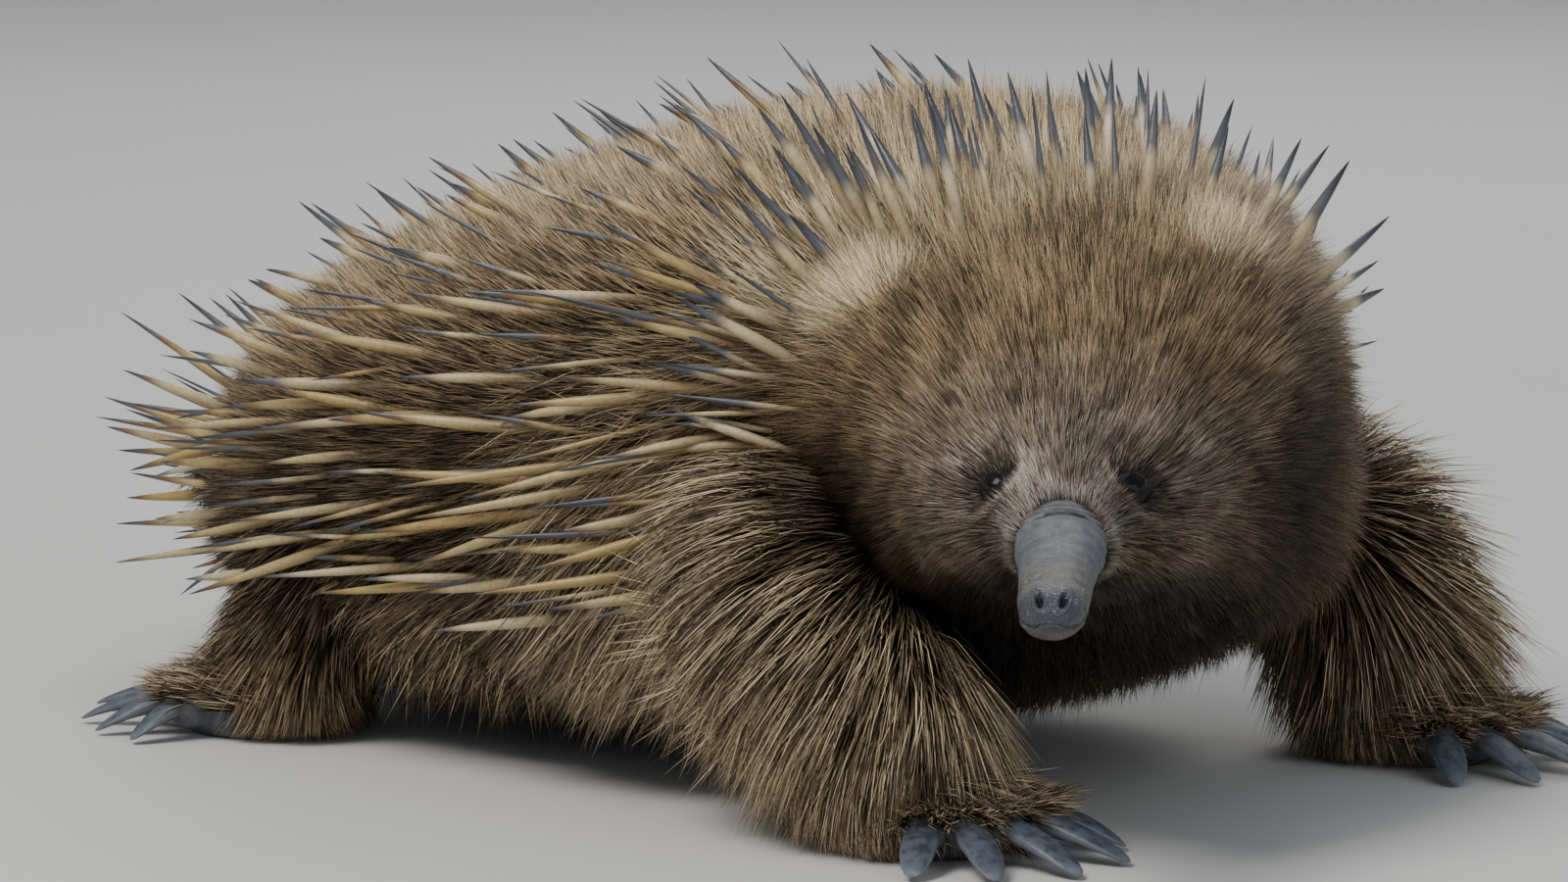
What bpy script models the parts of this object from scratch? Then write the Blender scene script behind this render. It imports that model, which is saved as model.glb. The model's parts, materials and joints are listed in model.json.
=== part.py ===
"""A short-beaked echidna at life size, as a still museum model that looks round to its right.

Axes: +X is the way the trunk faces, +Y is its left side and +Z is up. The origin is on the floor, under the
middle of the whole animal. Every length is in metres and every angle in degrees.

Tail, torso, neck, head and beak are stretches of one loft. Its sections stand upright along a centre line
that runs straight from the rump and then turns to the right. A section is found by its place, which is its
distance along that line from the rump, and a point on it by its turn: 0 is the left side, 90 the top,
180 the right side and 270 the underside.
"""

import math

import bmesh
import bpy
import numpy as np
from mathutils import Matrix, Vector
from mathutils.bvhtree import BVHTree

GAP = 0.0003
SEED = 20
PARTS, CUTTERS = "echidna", "cutters"

# The finish of each kind of part: its colour, roughness and metallic value.
FINISHES = {
    "coat": ((0.170, 0.108, 0.058), 0.85, 0.0),
    "beak": ((0.105, 0.112, 0.125), 0.42, 0.0),
    "ear": ((0.420, 0.330, 0.235), 0.70, 0.0),
    "eye": ((0.010, 0.008, 0.007), 0.08, 0.0),
    "claw": ((0.130, 0.142, 0.160), 0.48, 0.0),
}

# Sections of the bare body: place, half width, height of the widest line, top, underside and squareness.
BODY_SECTIONS = np.array(
    (
        (-0.042, 0.006, 0.044, 0.050, 0.038, 2.0),
        (-0.030, 0.012, 0.044, 0.056, 0.033, 2.0),
        (-0.010, 0.018, 0.043, 0.062, 0.028, 2.0),
        (0.010, 0.028, 0.043, 0.068, 0.024, 2.1),
        (0.023, 0.049, 0.045, 0.080, 0.022, 2.2),
        (0.045, 0.068, 0.048, 0.096, 0.017, 2.3),
        (0.080, 0.081, 0.052, 0.110, 0.014, 2.35),
        (0.120, 0.086, 0.057, 0.124, 0.013, 2.4),
        (0.165, 0.086, 0.062, 0.135, 0.014, 2.5),
        (0.205, 0.079, 0.068, 0.138, 0.018, 2.7),
        (0.242, 0.064, 0.076, 0.131, 0.026, 2.9),
        (0.275, 0.052, 0.078, 0.120, 0.036, 2.9),
        (0.302, 0.042, 0.078, 0.108, 0.048, 2.5),
        (0.324, 0.0325, 0.0765, 0.0970, 0.0560, 2.3),
        (0.338, 0.0240, 0.0750, 0.0890, 0.0600, 2.2),
        (0.349, 0.0128, 0.0735, 0.0825, 0.0640, 2.1),
        (0.362, 0.0098, 0.0722, 0.0796, 0.0646, 2.1),
        (0.385, 0.0077, 0.0698, 0.0757, 0.0633, 2.1),
        (0.404, 0.0070, 0.0674, 0.0727, 0.0613, 2.1),
        (0.410, 0.0062, 0.0665, 0.0710, 0.0615, 2.1),
        (0.4135, 0.0042, 0.0660, 0.0686, 0.0631, 2.1),
    )
)
TAIL_TIP, TAIL_ROOT, NECK_ROOT, HEAD_ROOT, BEAK_ROOT, BEAK_TIP = -0.042, 0.010, 0.230, 0.262, 0.353, 0.4135
# Each node of the trunk: where it starts and ends, and how far apart its rings are.
STRETCHES = {
    "tail": (TAIL_TIP, TAIL_ROOT, 0.0085),
    "torso": (TAIL_ROOT, NECK_ROOT, 0.0155),
    "neck": (NECK_ROOT, HEAD_ROOT, 0.0085),
    "head": (HEAD_ROOT, BEAK_ROOT, 0.0065),
    "beak": (BEAK_ROOT, BEAK_TIP, 0.0043),
}
RUMP_X = -0.150
TURN_START, TURN_END, TURN_ANGLE = 0.170, 0.310, -49.0
ROLL_START, ROLL_PEAK, ROLL_END, ROLL_ANGLE = 0.190, 0.265, 0.335, 7.5

# How far the solids stand out from the bare skin at a place, because of the coat.
COAT_PLACES = (-0.042, 0.010, 0.035, 0.270, 0.300, 0.325, 0.340, 0.350, 0.354)
COAT_DEPTHS = (0.004, 0.006, 0.009, 0.009, 0.009, 0.0065, 0.0035, 0.0010, 0.0)
BODY_SIDES = 26


def smooth_step(share):
    """0 up to 0, 1 from 1 on, and an S-shaped rise between them."""
    share = np.clip(share, 0.0, 1.0)
    return share * share * (3.0 - 2.0 * share)


def centre_line_table():
    """Place, x, y and heading along the centre line, added up in short steps."""
    places = np.linspace(TAIL_TIP - 0.01, BEAK_TIP + 0.01, 1201)
    headings = math.radians(TURN_ANGLE) * smooth_step((places - TURN_START) / (TURN_END - TURN_START))
    steps = np.diff(places, prepend=places[0])
    x, y = np.cumsum(np.cos(headings) * steps), np.cumsum(np.sin(headings) * steps)
    root = np.interp(0.0, places, x)
    return places, x - root + RUMP_X, y, headings


LINE_PLACES, LINE_X, LINE_Y, LINE_HEADINGS = centre_line_table()


def section_sizes(place):
    """The sizes of the section at any place, by a smooth curve through the known ones."""
    known, sizes = BODY_SECTIONS[:, 0], BODY_SECTIONS[:, 1:]
    slopes = np.gradient(sizes, known, axis=0)
    i = np.clip(np.searchsorted(known, place) - 1, 0, len(known) - 2)
    span = known[i + 1] - known[i]
    t = (place - known[i]) / span
    t, span = t[..., None], span[..., None]
    start, end = sizes[i], sizes[i + 1]
    return (
        start * (1 + 2 * t) * (1 - t) ** 2
        + end * t * t * (3 - 2 * t)
        + slopes[i] * span * t * (1 - t) ** 2
        - slopes[i + 1] * span * t * t * (1 - t)
    )


def skin_point(place, turn):
    """A point of the bare skin at a place along the body and a turn round it, as arrays."""
    place, turn = np.broadcast_arrays(np.asarray(place, float), np.radians(turn))
    half, widest, top, under, squareness = np.moveaxis(section_sizes(place), -1, 0)
    across, upward, power = np.cos(turn), np.sin(turn), 2.0 / squareness
    side = half * np.sign(across) * np.abs(across) ** power
    rise = np.where(upward > 0, top - widest, widest - under) * np.sign(upward) * np.abs(upward) ** power
    roll = math.radians(ROLL_ANGLE) * (
        smooth_step((place - ROLL_START) / (ROLL_PEAK - ROLL_START))
        - smooth_step((place - ROLL_PEAK) / (ROLL_END - ROLL_PEAK))
    )
    side, rise = side * np.cos(roll) - rise * np.sin(roll), side * np.sin(roll) + rise * np.cos(roll)
    heading = np.interp(place, LINE_PLACES, LINE_HEADINGS)
    x = np.interp(place, LINE_PLACES, LINE_X) - side * np.sin(heading)
    y = np.interp(place, LINE_PLACES, LINE_Y) + side * np.cos(heading)
    return np.stack([x, y, widest + rise], axis=-1)


def unit(vectors):
    return vectors / np.linalg.norm(vectors, axis=-1, keepdims=True)


def skin_normal(place, turn):
    """The outward direction of the skin, from the two ways along it."""
    step, swing = 0.001, 1.0
    place, turn = np.asarray(place, float), np.asarray(turn, float)
    along = skin_point(place + step, turn) - skin_point(place - step, turn)
    around = skin_point(place, turn + swing) - skin_point(place, turn - swing)
    return unit(np.cross(around, along))


def section_normal(place, turn):
    """The outward direction within a section's own plane, so that a ring with a coat on it stays flat."""
    turn = np.asarray(turn, float)
    around = skin_point(place, turn + 1.0) - skin_point(place, turn - 1.0)
    heading = np.interp(place, LINE_PLACES, LINE_HEADINGS)
    return unit(np.cross(around, np.stack([np.cos(heading), np.sin(heading), 0 * heading], axis=-1)))


def body_point(place, turn, extra=0.0):
    """A point of the solid body's surface: the skin with the coat's depth, and extra on top."""
    depth = np.interp(place, COAT_PLACES, COAT_DEPTHS) * bare_round_eyes(skin_point(place, turn)) + extra
    return skin_point(place, turn) + section_normal(place, turn) * np.asarray(depth)[..., None]


# The eyes, set on the skin where the face narrows to the beak.
EYE_PLACE, EYE_TURNS, EYE_RADIUS, EYE_SINK = 0.3425, {"left": 45.0, "right": 135.0}, 0.0046, 0.0022
BARE_RADIUS = 0.0085
LID_RADII, LID_THICKNESS, LID_HEIGHT = (0.0040, 0.0034), 0.0013, 0.0029
EYE_NORMALS = {side: skin_normal(EYE_PLACE, turn) for side, turn in EYE_TURNS.items()}
EYES = {side: skin_point(EYE_PLACE, turn) - EYE_NORMALS[side] * EYE_SINK for side, turn in EYE_TURNS.items()}

# The ear's cup: where it sits, its radii along the body, up and out, and how deep the cup goes.
EAR_PLACE, EAR_TURNS = 0.273, {"left": 54.0, "right": 126.0}
EAR_RADII, EAR_WALL, EAR_CUP_RISE = (0.0046, 0.0085, 0.0052), 0.0013, 0.0034
# The nostrils on the tip of the beak and the line of the mouth round it.
NOSTRIL_PLACE, NOSTRIL_SWING, NOSTRIL_RADII = 0.4106, 26.0, (0.0010, 0.0017, 0.0012)
MOUTH_START, MOUTH_HEIGHT, MOUTH_OPENING, MOUTH_DEPTH, MOUTH_ROOM = 0.397, -0.0016, 0.0005, 0.0011, 0.020


def bare_round_eyes(points):
    """The share of the coat's depth that is left near the eyes: none at an eye, all of it past the lids."""
    nearest = np.min([np.linalg.norm(points - centre, axis=-1) for centre in EYES.values()], axis=0)
    return smooth_step((nearest - EYE_RADIUS) / BARE_RADIUS)


def collection(name):
    """The collection of this name, made the first time that it is asked for."""
    if name not in bpy.data.collections:
        bpy.context.scene.collection.children.link(bpy.data.collections.new(name))
    return bpy.data.collections[name]


def mesh_object(name, shape, group):
    """An object made from a bmesh, whose faces are turned outwards first."""
    bmesh.ops.recalc_face_normals(shape, faces=shape.faces)
    mesh = bpy.data.meshes.new(name)
    shape.to_mesh(mesh)
    shape.free()
    made = bpy.data.objects.new(name, mesh)
    collection(group).objects.link(made)
    return made


def loft(name, rings, tip=None, group=PARTS):
    """A closed solid through rings with the same number of points. It ends in flat caps, or in a tip."""
    shape = bmesh.new()
    corners = [[shape.verts.new(point) for point in ring] for ring in rings]
    for ring, following in zip(corners, corners[1:]):
        for j in range(len(ring)):
            k = (j + 1) % len(ring)
            shape.faces.new((ring[j], ring[k], following[k]))
            shape.faces.new((ring[j], following[k], following[j]))
    shape.faces.new(corners[0])
    if tip is None:
        shape.faces.new(corners[-1])
    else:
        end = shape.verts.new(tip)
        for j, corner in enumerate(corners[-1]):
            shape.faces.new((corner, corners[-1][(j + 1) % len(corners[-1])], end))
    return mesh_object(name, shape, group)


def body_stretch(name, extra=0.0, margin=-GAP / 2, group=PARTS):
    """One node of the trunk. Its ends are half a gap short, and a margin round it reaches as far past."""
    start, end, ring_step = STRETCHES[name]
    start -= margin if start > TAIL_TIP else 0.0
    end += margin if end < BEAK_TIP else 0.0
    places = np.linspace(start, end, 1 + round((end - start) / ring_step))
    turns = np.arange(BODY_SIDES) * 360.0 / BODY_SIDES
    return loft(name, body_point(places[:, None], turns[None, :], extra), group=group)


def margins(names, extra=GAP):
    """The space that a neighbour of these nodes leaves free."""
    return [body_stretch(name, extra, margin=GAP / 2, group=CUTTERS) for name in names]


def baked(target):
    """The same object with its modifiers made real."""
    graph = bpy.context.evaluated_depsgraph_get()
    mesh = bpy.data.meshes.new_from_object(target.evaluated_get(graph))
    old = target.data
    target.modifiers.clear()
    target.data = mesh
    bpy.data.meshes.remove(old)
    return target


def keep_largest(target):
    """Drops every closed surface but the largest, such as a sealed hollow or a loose scrap."""
    shape = bmesh.new()
    shape.from_mesh(target.data)
    bmesh.ops.remove_doubles(shape, verts=shape.verts, dist=1e-6)
    waiting, surfaces = set(shape.verts), []
    while waiting:
        found, edge = [], [waiting.pop()]
        while edge:
            corner = edge.pop()
            found.append(corner)
            for link in corner.link_edges:
                other = link.other_vert(corner)
                if other in waiting:
                    waiting.remove(other)
                    edge.append(other)
        surfaces.append(found)
    surfaces.sort(key=len)
    for surface in surfaces[:-1]:
        bmesh.ops.delete(shape, geom=surface, context="VERTS")
    bmesh.ops.triangulate(shape, faces=shape.faces)
    shape.to_mesh(target.data)
    shape.free()
    return target


def cut(target, *cutters, keep="DIFFERENCE", solver="EXACT"):
    """Cuts each cutter from the target, or keeps what they share, and removes the cutters."""
    for cutter in cutters:
        modifier = target.modifiers.new("cut", "BOOLEAN")
        modifier.operation, modifier.solver, modifier.object = keep, solver, cutter
        baked(target)
        bpy.data.objects.remove(cutter)
    return keep_largest(target)


def fuse(target, group, solver="EXACT"):
    """Joins the pieces of a collection to the target in one union, and removes them."""
    pieces = collection(group)
    if pieces.objects:
        modifier = target.modifiers.new("join", "BOOLEAN")
        modifier.operation, modifier.solver = "UNION", solver
        modifier.operand_type, modifier.collection = "COLLECTION", pieces
        baked(target)
    for piece in list(pieces.objects):
        bpy.data.objects.remove(piece)
    bpy.data.collections.remove(pieces)
    return keep_largest(target)


def box(low, high):
    shape = bmesh.new()
    bmesh.ops.create_cube(shape, size=1.0)
    low, high = Vector(low), Vector(high)
    for corner in shape.verts:
        corner.co = Vector(((c + 0.5) * (b - a) + a for a, b, c in zip(low, high, corner.co)))
    return mesh_object("box", shape, CUTTERS)


def ball(name, centre, radii, turn_to=None, segments=16, rings=10, group=CUTTERS):
    """A sphere stretched to three radii, whose third axis is turned to a direction."""
    shape = bmesh.new()
    bmesh.ops.create_uvsphere(shape, u_segments=segments, v_segments=rings, radius=1.0)
    turning = Matrix()
    if turn_to is not None:
        turning = Vector(turn_to).to_track_quat("Z", "Y").to_matrix().to_4x4()
    place = Matrix.Translation(Vector(centre)) @ turning @ Matrix.Diagonal((*radii, 1.0))
    bmesh.ops.transform(shape, matrix=place, verts=shape.verts)
    return mesh_object(name, shape, group)


def ring_tube(name, centre, axis, radii, thickness, group, segments=16, sides=5):
    """An oval ring of round section round an axis, such as a pair of lids."""
    turning = np.array(Vector(axis).to_track_quat("Z", "Y").to_matrix())
    angles = np.arange(segments) * 2 * math.pi / segments
    around = np.arange(sides) * 2 * math.pi / sides
    shape = bmesh.new()
    corners = []
    for angle in angles:
        outward = np.array((math.cos(angle), math.sin(angle), 0.0))
        middle = outward * np.array((*radii, 0.0))
        ring = middle + thickness * (
            np.cos(around)[:, None] * outward + np.sin(around)[:, None] * np.array((0, 0, 1.0))
        )
        corners.append([shape.verts.new(point) for point in centre + ring @ turning.T])
    for i in range(segments):
        for j in range(sides):
            k, following = (j + 1) % sides, corners[(i + 1) % segments]
            shape.faces.new((corners[i][j], corners[i][k], following[k], following[j]))
    return mesh_object(name, shape, group)


def curve_through(points, count):
    """Points along a smooth curve through a few given ones, evenly spread between them."""
    points = np.array(points, float)
    known = np.arange(len(points))
    shares = np.linspace(0, len(points) - 1, count)
    slopes = np.gradient(points, axis=0)
    i = np.clip(shares.astype(int), 0, len(points) - 2)
    t = (shares - known[i])[:, None]
    return (
        points[i] * (1 + 2 * t) * (1 - t) ** 2
        + points[i + 1] * t * t * (3 - 2 * t)
        + slopes[i] * t * (1 - t) ** 2
        - slopes[i + 1] * t * t * (1 - t)
    )


def tube_rings(path, half_widths, half_heights, upright, sides):
    """Oval rings along a path. Their height leans towards a given upright direction."""
    tangents = unit(np.gradient(path, axis=0))
    across = unit(np.cross(tangents, np.asarray(upright, float)))
    raised = np.cross(across, tangents)
    angles = (np.arange(sides) * 2 * math.pi / sides)[None, :, None]
    return (
        path[:, None]
        + np.asarray(half_widths)[:, None, None] * np.cos(angles) * across[:, None]
        + np.asarray(half_heights)[:, None, None] * np.sin(angles) * raised[:, None]
    )


# The spines of each node: where they stand and how far apart. Rises and lengths are low on the side and at the
# top, and crest is the rise at the top of the last row.
SPINES = {
    "torso": {
        "places": (0.022, 0.224),
        "turns": (-16.0, 196.0),
        "spacing": 0.0184,
        "rise": (16.0, 17.0),
        "crest": 20.0,
        "lengths": (0.037, 0.027),
    },
    "neck": {
        "places": (0.2350, 0.2575),
        "turns": (8.0, 172.0),
        "spacing": 0.0124,
        "rise": (18.0, 26.0),
        "crest": 48.0,
        "lengths": (0.024, 0.020),
    },
    "tail": {
        "places": (-0.036, 0.004),
        "turns": (-35.0, 215.0),
        "spacing": 0.0130,
        "rise": (34.0, 44.0),
        "crest": 38.0,
        "lengths": (0.040, 0.043),
    },
}
SPINE_RADIUS, SPINE_SUNK, SPINE_BELLY = 0.0017, 0.0045, 0.35
SPINE_SPREAD, TURN_SPREAD, PLACE_SPREAD, LENGTH_RANGE = 7.0, 1.5, 0.0015, (0.84, 1.12)
SPINE_SIDE_SLANT, SPINE_UPRIGHT = 10.0, (0.1, 0.2, 1.0)

# The locks of long hair on the trunk: where they grow, how far apart, and how they lie.
LOCK_FIELDS = {
    "torso": (
        {
            "places": (0.172, 0.222),
            "turns": (184.0, 214.0),
            "spacing": 0.0145,
            "slant": 42.0,
            "length": 0.030,
        },
        {
            "places": (0.040, 0.160),
            "turns": (206.0, 207.0),
            "spacing": 0.0170,
            "slant": 25.0,
            "length": 0.026,
        },
    ),
}
LOCK_HALF_WIDTH, LOCK_HALF_THICKNESS, LOCK_SUNK, LOCK_RISE = 0.0048, 0.0016, 0.0040, 22.0
LOCK_TURN_SPREAD, LOCK_SLANT_SPREAD, LOCK_DROOP, LOCK_CLING = 2.0, 8.0, (-0.1, 0.0, -0.5), 0.3

# Every spine and lock keeps this far from the other nodes and from the floor, and is made shorter to do so.
CLEARANCE, LOWEST, SHORTER = 0.0005, 0.0040, (1.0, 0.85, 0.7, 0.55)


def lie(place, turn, slant, rise):
    """The direction of a hair or spine: back along the body, slanted down the side, raised off the skin."""
    side = 1.0 if np.cos(np.radians(turn)) > 0 else -1.0
    back = unit(skin_point(place - 0.001, turn) - skin_point(place + 0.001, turn))
    down = unit(skin_point(place, turn - side) - skin_point(place, turn + side))
    slant, rise = math.radians(slant), math.radians(rise)
    flat = unit(back * math.cos(slant) + down * math.sin(slant))
    return flat * math.cos(rise) + skin_normal(place, turn) * math.sin(rise)


def even_turns(place, first, last, spacing, offset):
    """Turns that stand evenly along the outline of one section."""
    turns = np.linspace(first, last, 80)
    steps = np.linalg.norm(np.diff(body_point(place, turns), axis=0), axis=-1)
    along = np.concatenate([[0.0], np.cumsum(steps)])
    count = max(1, int(along[-1] / spacing))
    return np.interp((np.arange(count) + 0.5 + offset) * along[-1] / (count + 0.5), along, turns)


def is_inside(tree, point):
    """True if a ray from the point leaves the node's surface once more than it enters it."""
    spot, crossings, ahead = Vector(point), 0, Vector((0.31, 0.17, 0.93)).normalized()
    while True:
        hit = tree.ray_cast(spot, ahead)[0]
        if hit is None:
            return crossings % 2 == 1
        crossings += 1
        spot = hit + ahead * 1e-6


class Room:
    """What is already standing, so that a spine or lock can keep clear of the other nodes."""

    def __init__(self):
        self.trees = {}
        self.pieces = {}

    def stand(self, node):
        shape = bmesh.new()
        shape.from_mesh(node.data)
        self.trees[node.name] = BVHTree.FromBMesh(shape)
        shape.free()

    def is_clear(self, name, points, radii):
        """True if the points, each with its radius, miss every other node and what grows on it."""
        for other, tree in self.trees.items():
            if other == name:
                continue
            for point, radius in zip(points, radii):
                if tree.find_nearest(point, radius + CLEARANCE)[0] is not None:
                    return False
            if is_inside(tree, points[0]):
                return False
        for other, taken in self.pieces.items():
            if other == name:
                continue
            spots = np.concatenate(taken)
            apart = np.linalg.norm(points[:, None] - spots[None, :, :3], axis=-1)
            if (apart < radii[:, None] + spots[None, :, 3] + CLEARANCE).any():
                return False
        return True

    def take(self, name, points, radii):
        self.pieces.setdefault(name, []).append(np.column_stack([points, radii]))


def grow(room, name, path, half_widths, half_heights, upright):
    """Adds one four-sided spine or lock with a pointed end, unless it would touch another node."""
    known = np.arange(len(path))
    shares = np.linspace(0, known[-1], 6 * known[-1] + 1)
    points = np.column_stack([np.interp(shares, known, one) for one in np.transpose(path)])
    radii = np.interp(shares, known, (*half_widths, 0.0))
    if points[:, 2].min() < LOWEST or not room.is_clear(name, points, radii):
        return False
    room.take(name, points, radii)
    rings = tube_rings(path[:-1], half_widths, half_heights, upright, 4)
    loft("piece", rings, tip=path[-1], group=f"growth_{name}")
    return True


def grow_spine(room, name, root, direction, length):
    """One spine, shorter where it would touch another node."""
    widths = SPINE_RADIUS * np.array((0.7, 1.0))
    for share in SHORTER:
        reach = length * share
        path = root + direction * np.array((-SPINE_SUNK, SPINE_BELLY * reach, reach))[:, None]
        if grow(room, name, path, widths, widths, SPINE_UPRIGHT):
            return


def grow_lock(room, name, root, normal, direction, droop, length):
    """One flat lock that leaves the skin along a direction and bends as it droops."""
    widths = LOCK_HALF_WIDTH * np.array((0.7, 1.0, 0.72))
    thickness = LOCK_HALF_THICKNESS * np.array((1.0, 1.0, 0.7))
    for share in SHORTER:
        reach = length * share * np.array((0.0, 0.38, 0.75, 1.0))[:, None]
        path = root + direction * reach + droop * reach**2 / length / 2
        path[0] -= normal * LOCK_SUNK
        if grow(room, name, path, widths, thickness, normal):
            return


def spines_on(room, name, random):
    """The spines of one node, in rows that stand half a step from the row before."""
    field = SPINES[name]
    first, last = field["places"]
    rows = 1 + round((last - first) / field["spacing"])
    for row, place in enumerate(np.linspace(first, last, rows)):
        for turn in even_turns(place, *field["turns"], field["spacing"], 0.5 * (row % 2)):
            upper = max(0.0, math.sin(math.radians(turn)))
            turn += random.normal(0, TURN_SPREAD)
            spot = min(max(place + random.normal(0, PLACE_SPREAD), first), last)
            low, high = field["rise"]
            high += (field["crest"] - high) * (place - first) / (last - first)
            rise = low + (high - low) * upper + random.normal(0, SPINE_SPREAD / 2)
            slant = SPINE_SIDE_SLANT * (1 - upper) + random.normal(0, SPINE_SPREAD)
            length = np.interp(upper, (0, 1), field["lengths"]) * random.uniform(*LENGTH_RANGE)
            grow_spine(room, name, body_point(spot, turn), lie(spot, turn, slant, rise), length)


def locks_on(room, name, random):
    """The locks of the trunk, on both sides."""
    for field in LOCK_FIELDS.get(name, ()):
        first, last = field["places"]
        rows = 1 + round((last - first) / field["spacing"])
        for row, place in enumerate(np.linspace(first, last, rows)):
            for turn in even_turns(place, *field["turns"], field["spacing"], 0.5 * (row % 2)):
                for turned in (turn, 180.0 - turn):
                    swing = turned + random.normal(0, LOCK_TURN_SPREAD)
                    slant = field["slant"] + random.normal(0, LOCK_SLANT_SPREAD)
                    root, normal = body_point(place, swing), skin_normal(place, swing)
                    length = field["length"] * random.uniform(*LENGTH_RANGE)
                    droop = np.array(LOCK_DROOP) - LOCK_CLING * normal
                    grow_lock(room, name, root, normal, lie(place, swing, slant, LOCK_RISE), droop, length)


# Each limb: its path from inside the trunk to the ankle, its radii there, the middle of the foot, and the way
# that the foot points.
LIMBS = {
    "fore_right": {
        "leg": "foreleg_right",
        "foot_node": "forefoot_right",
        "path": (
            (0.052, -0.040, 0.070), (0.080, -0.074, 0.054),
            (0.105, -0.078, 0.032), (0.117, -0.076, 0.010),
        ),
        "foot": (0.121, -0.074),
        "heading": -8.0,
        "front": True,
    },
    "fore_left": {
        "leg": "foreleg_left",
        "foot_node": "forefoot_left",
        "path": (
            (0.067, 0.038, 0.070), (0.090, 0.070, 0.054),
            (0.108, 0.080, 0.032), (0.115, 0.082, 0.010),
        ),
        "foot": (0.121, 0.083),
        "heading": 8.0,
        "front": True,
    },
    "hind_right": {
        "leg": "hindleg_right",
        "foot_node": "hindfoot_right",
        "path": (
            (-0.078, -0.034, 0.062), (-0.066, -0.066, 0.045),
            (-0.078, -0.076, 0.026), (-0.084, -0.077, 0.010),
        ),
        "foot": (-0.090, -0.080),
        "heading": -150.0,
        "front": False,
    },
    "hind_left": {
        "leg": "hindleg_left",
        "foot_node": "hindfoot_left",
        "path": (
            (-0.070, 0.034, 0.062), (-0.056, 0.066, 0.045),
            (-0.066, 0.077, 0.026), (-0.071, 0.078, 0.010),
        ),
        "foot": (-0.077, 0.081),
        "heading": 152.0,
        "front": False,
    },
}
LEG_RADII = {True: (0.031, 0.029, 0.022, 0.019), False: (0.030, 0.026, 0.020, 0.017)}
LEG_SIDES, LEG_RINGS = 16, 9
ANKLE_HEIGHT = 0.0200
PAD_RADII = {True: (0.022, 0.020, 0.0132), False: (0.021, 0.017, 0.0130)}
PAD_HEIGHT = 0.0060
TOE_REACH = {True: 0.0270, False: 0.0245}
TOE_HALF_WIDTH, TOE_HALF_HEIGHT, TOE_HEIGHT = {True: 0.0043, False: 0.0034}, 0.0040, 0.0072
TOE_ANGLES = {True: (-46, -23, 0, 23, 46), False: (-46, -22, 2, 25, 48)}
CLAW_LENGTHS = {True: (0.014, 0.019, 0.021, 0.019, 0.013), False: (0.010, 0.026, 0.019, 0.014, 0.010)}
CLAW_TIP_HEIGHT = 0.0016
FOOT_SIDES, FOOT_ROOM = 6, 0.08
# The tiers of locks on a leg: the height of each tier's roots and the length of its locks.
LEG_TIERS = {
    True: ((0.060, 0.028), (0.048, 0.026), (0.036, 0.022)),
    False: ((0.040, 0.022), (0.030, 0.018)),
}
LEG_FAN, LEG_STEP, LEG_LEAN, LEG_SPREAD, LEG_ROOT, LEG_CURL = 110.0, 29.0, 0.75, 3.5, 0.93, -0.35
LEG_HANG, LEG_PLACES = (-0.15, 0.0, -1.0), 60


def foot_direction(limb, angle):
    turned = math.radians(limb["heading"] + angle)
    return np.array((math.cos(turned), math.sin(turned), 0.0))


def leg_and_foot(name, limb):
    """The leg down to the ankle, cut to fit the trunk, and the foot under it, cut flat on the floor."""
    front = limb["front"]
    path = curve_through(limb["path"], LEG_RINGS)
    radii = np.interp(np.linspace(0, 3, LEG_RINGS), range(4), LEG_RADII[front])
    bend = np.cross(path[LEG_RINGS // 2] - path[0], path[-1] - path[LEG_RINGS // 2])
    rings = tube_rings(path, radii, radii, bend, LEG_SIDES)
    leg, foot = loft(limb["leg"], rings), loft(limb["foot_node"], rings)
    middle = np.array((*limb["foot"], PAD_HEIGHT))
    pad = ball("pad", (0, 0, 0), PAD_RADII[front], segments=14, rings=8, group="toes")
    pad.data.transform(Matrix.Translation(middle) @ Matrix.Rotation(math.radians(limb["heading"]), 4, "Z"))
    for angle in TOE_ANGLES[front]:
        start, end = middle.copy(), middle + TOE_REACH[front] * foot_direction(limb, angle)
        start[2] = end[2] = TOE_HEIGHT
        toe = tube_rings(
            np.linspace(start, end, 3)[1:],
            TOE_HALF_WIDTH[front] * np.array((1.2, 1.0)),
            TOE_HALF_HEIGHT * np.array((1.2, 1.0)),
            (0, 0, 1),
            FOOT_SIDES,
        )
        loft("toe", toe, group="toes")
    fuse(foot, "toes")
    x, y = limb["foot"]
    low, high = (x - FOOT_ROOM, y - FOOT_ROOM), (x + FOOT_ROOM, y + FOOT_ROOM)
    above = box((*low, -FOOT_ROOM), (*high, ANKLE_HEIGHT + GAP / 2))
    cut(leg, above, *margins(("torso", "neck", "head")), solver="MANIFOLD")
    cut(foot, box((*low, 0), (*high, ANKLE_HEIGHT - GAP / 2)), keep="INTERSECT")
    cut(foot, *margins(("torso",)))
    return leg, foot


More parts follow.
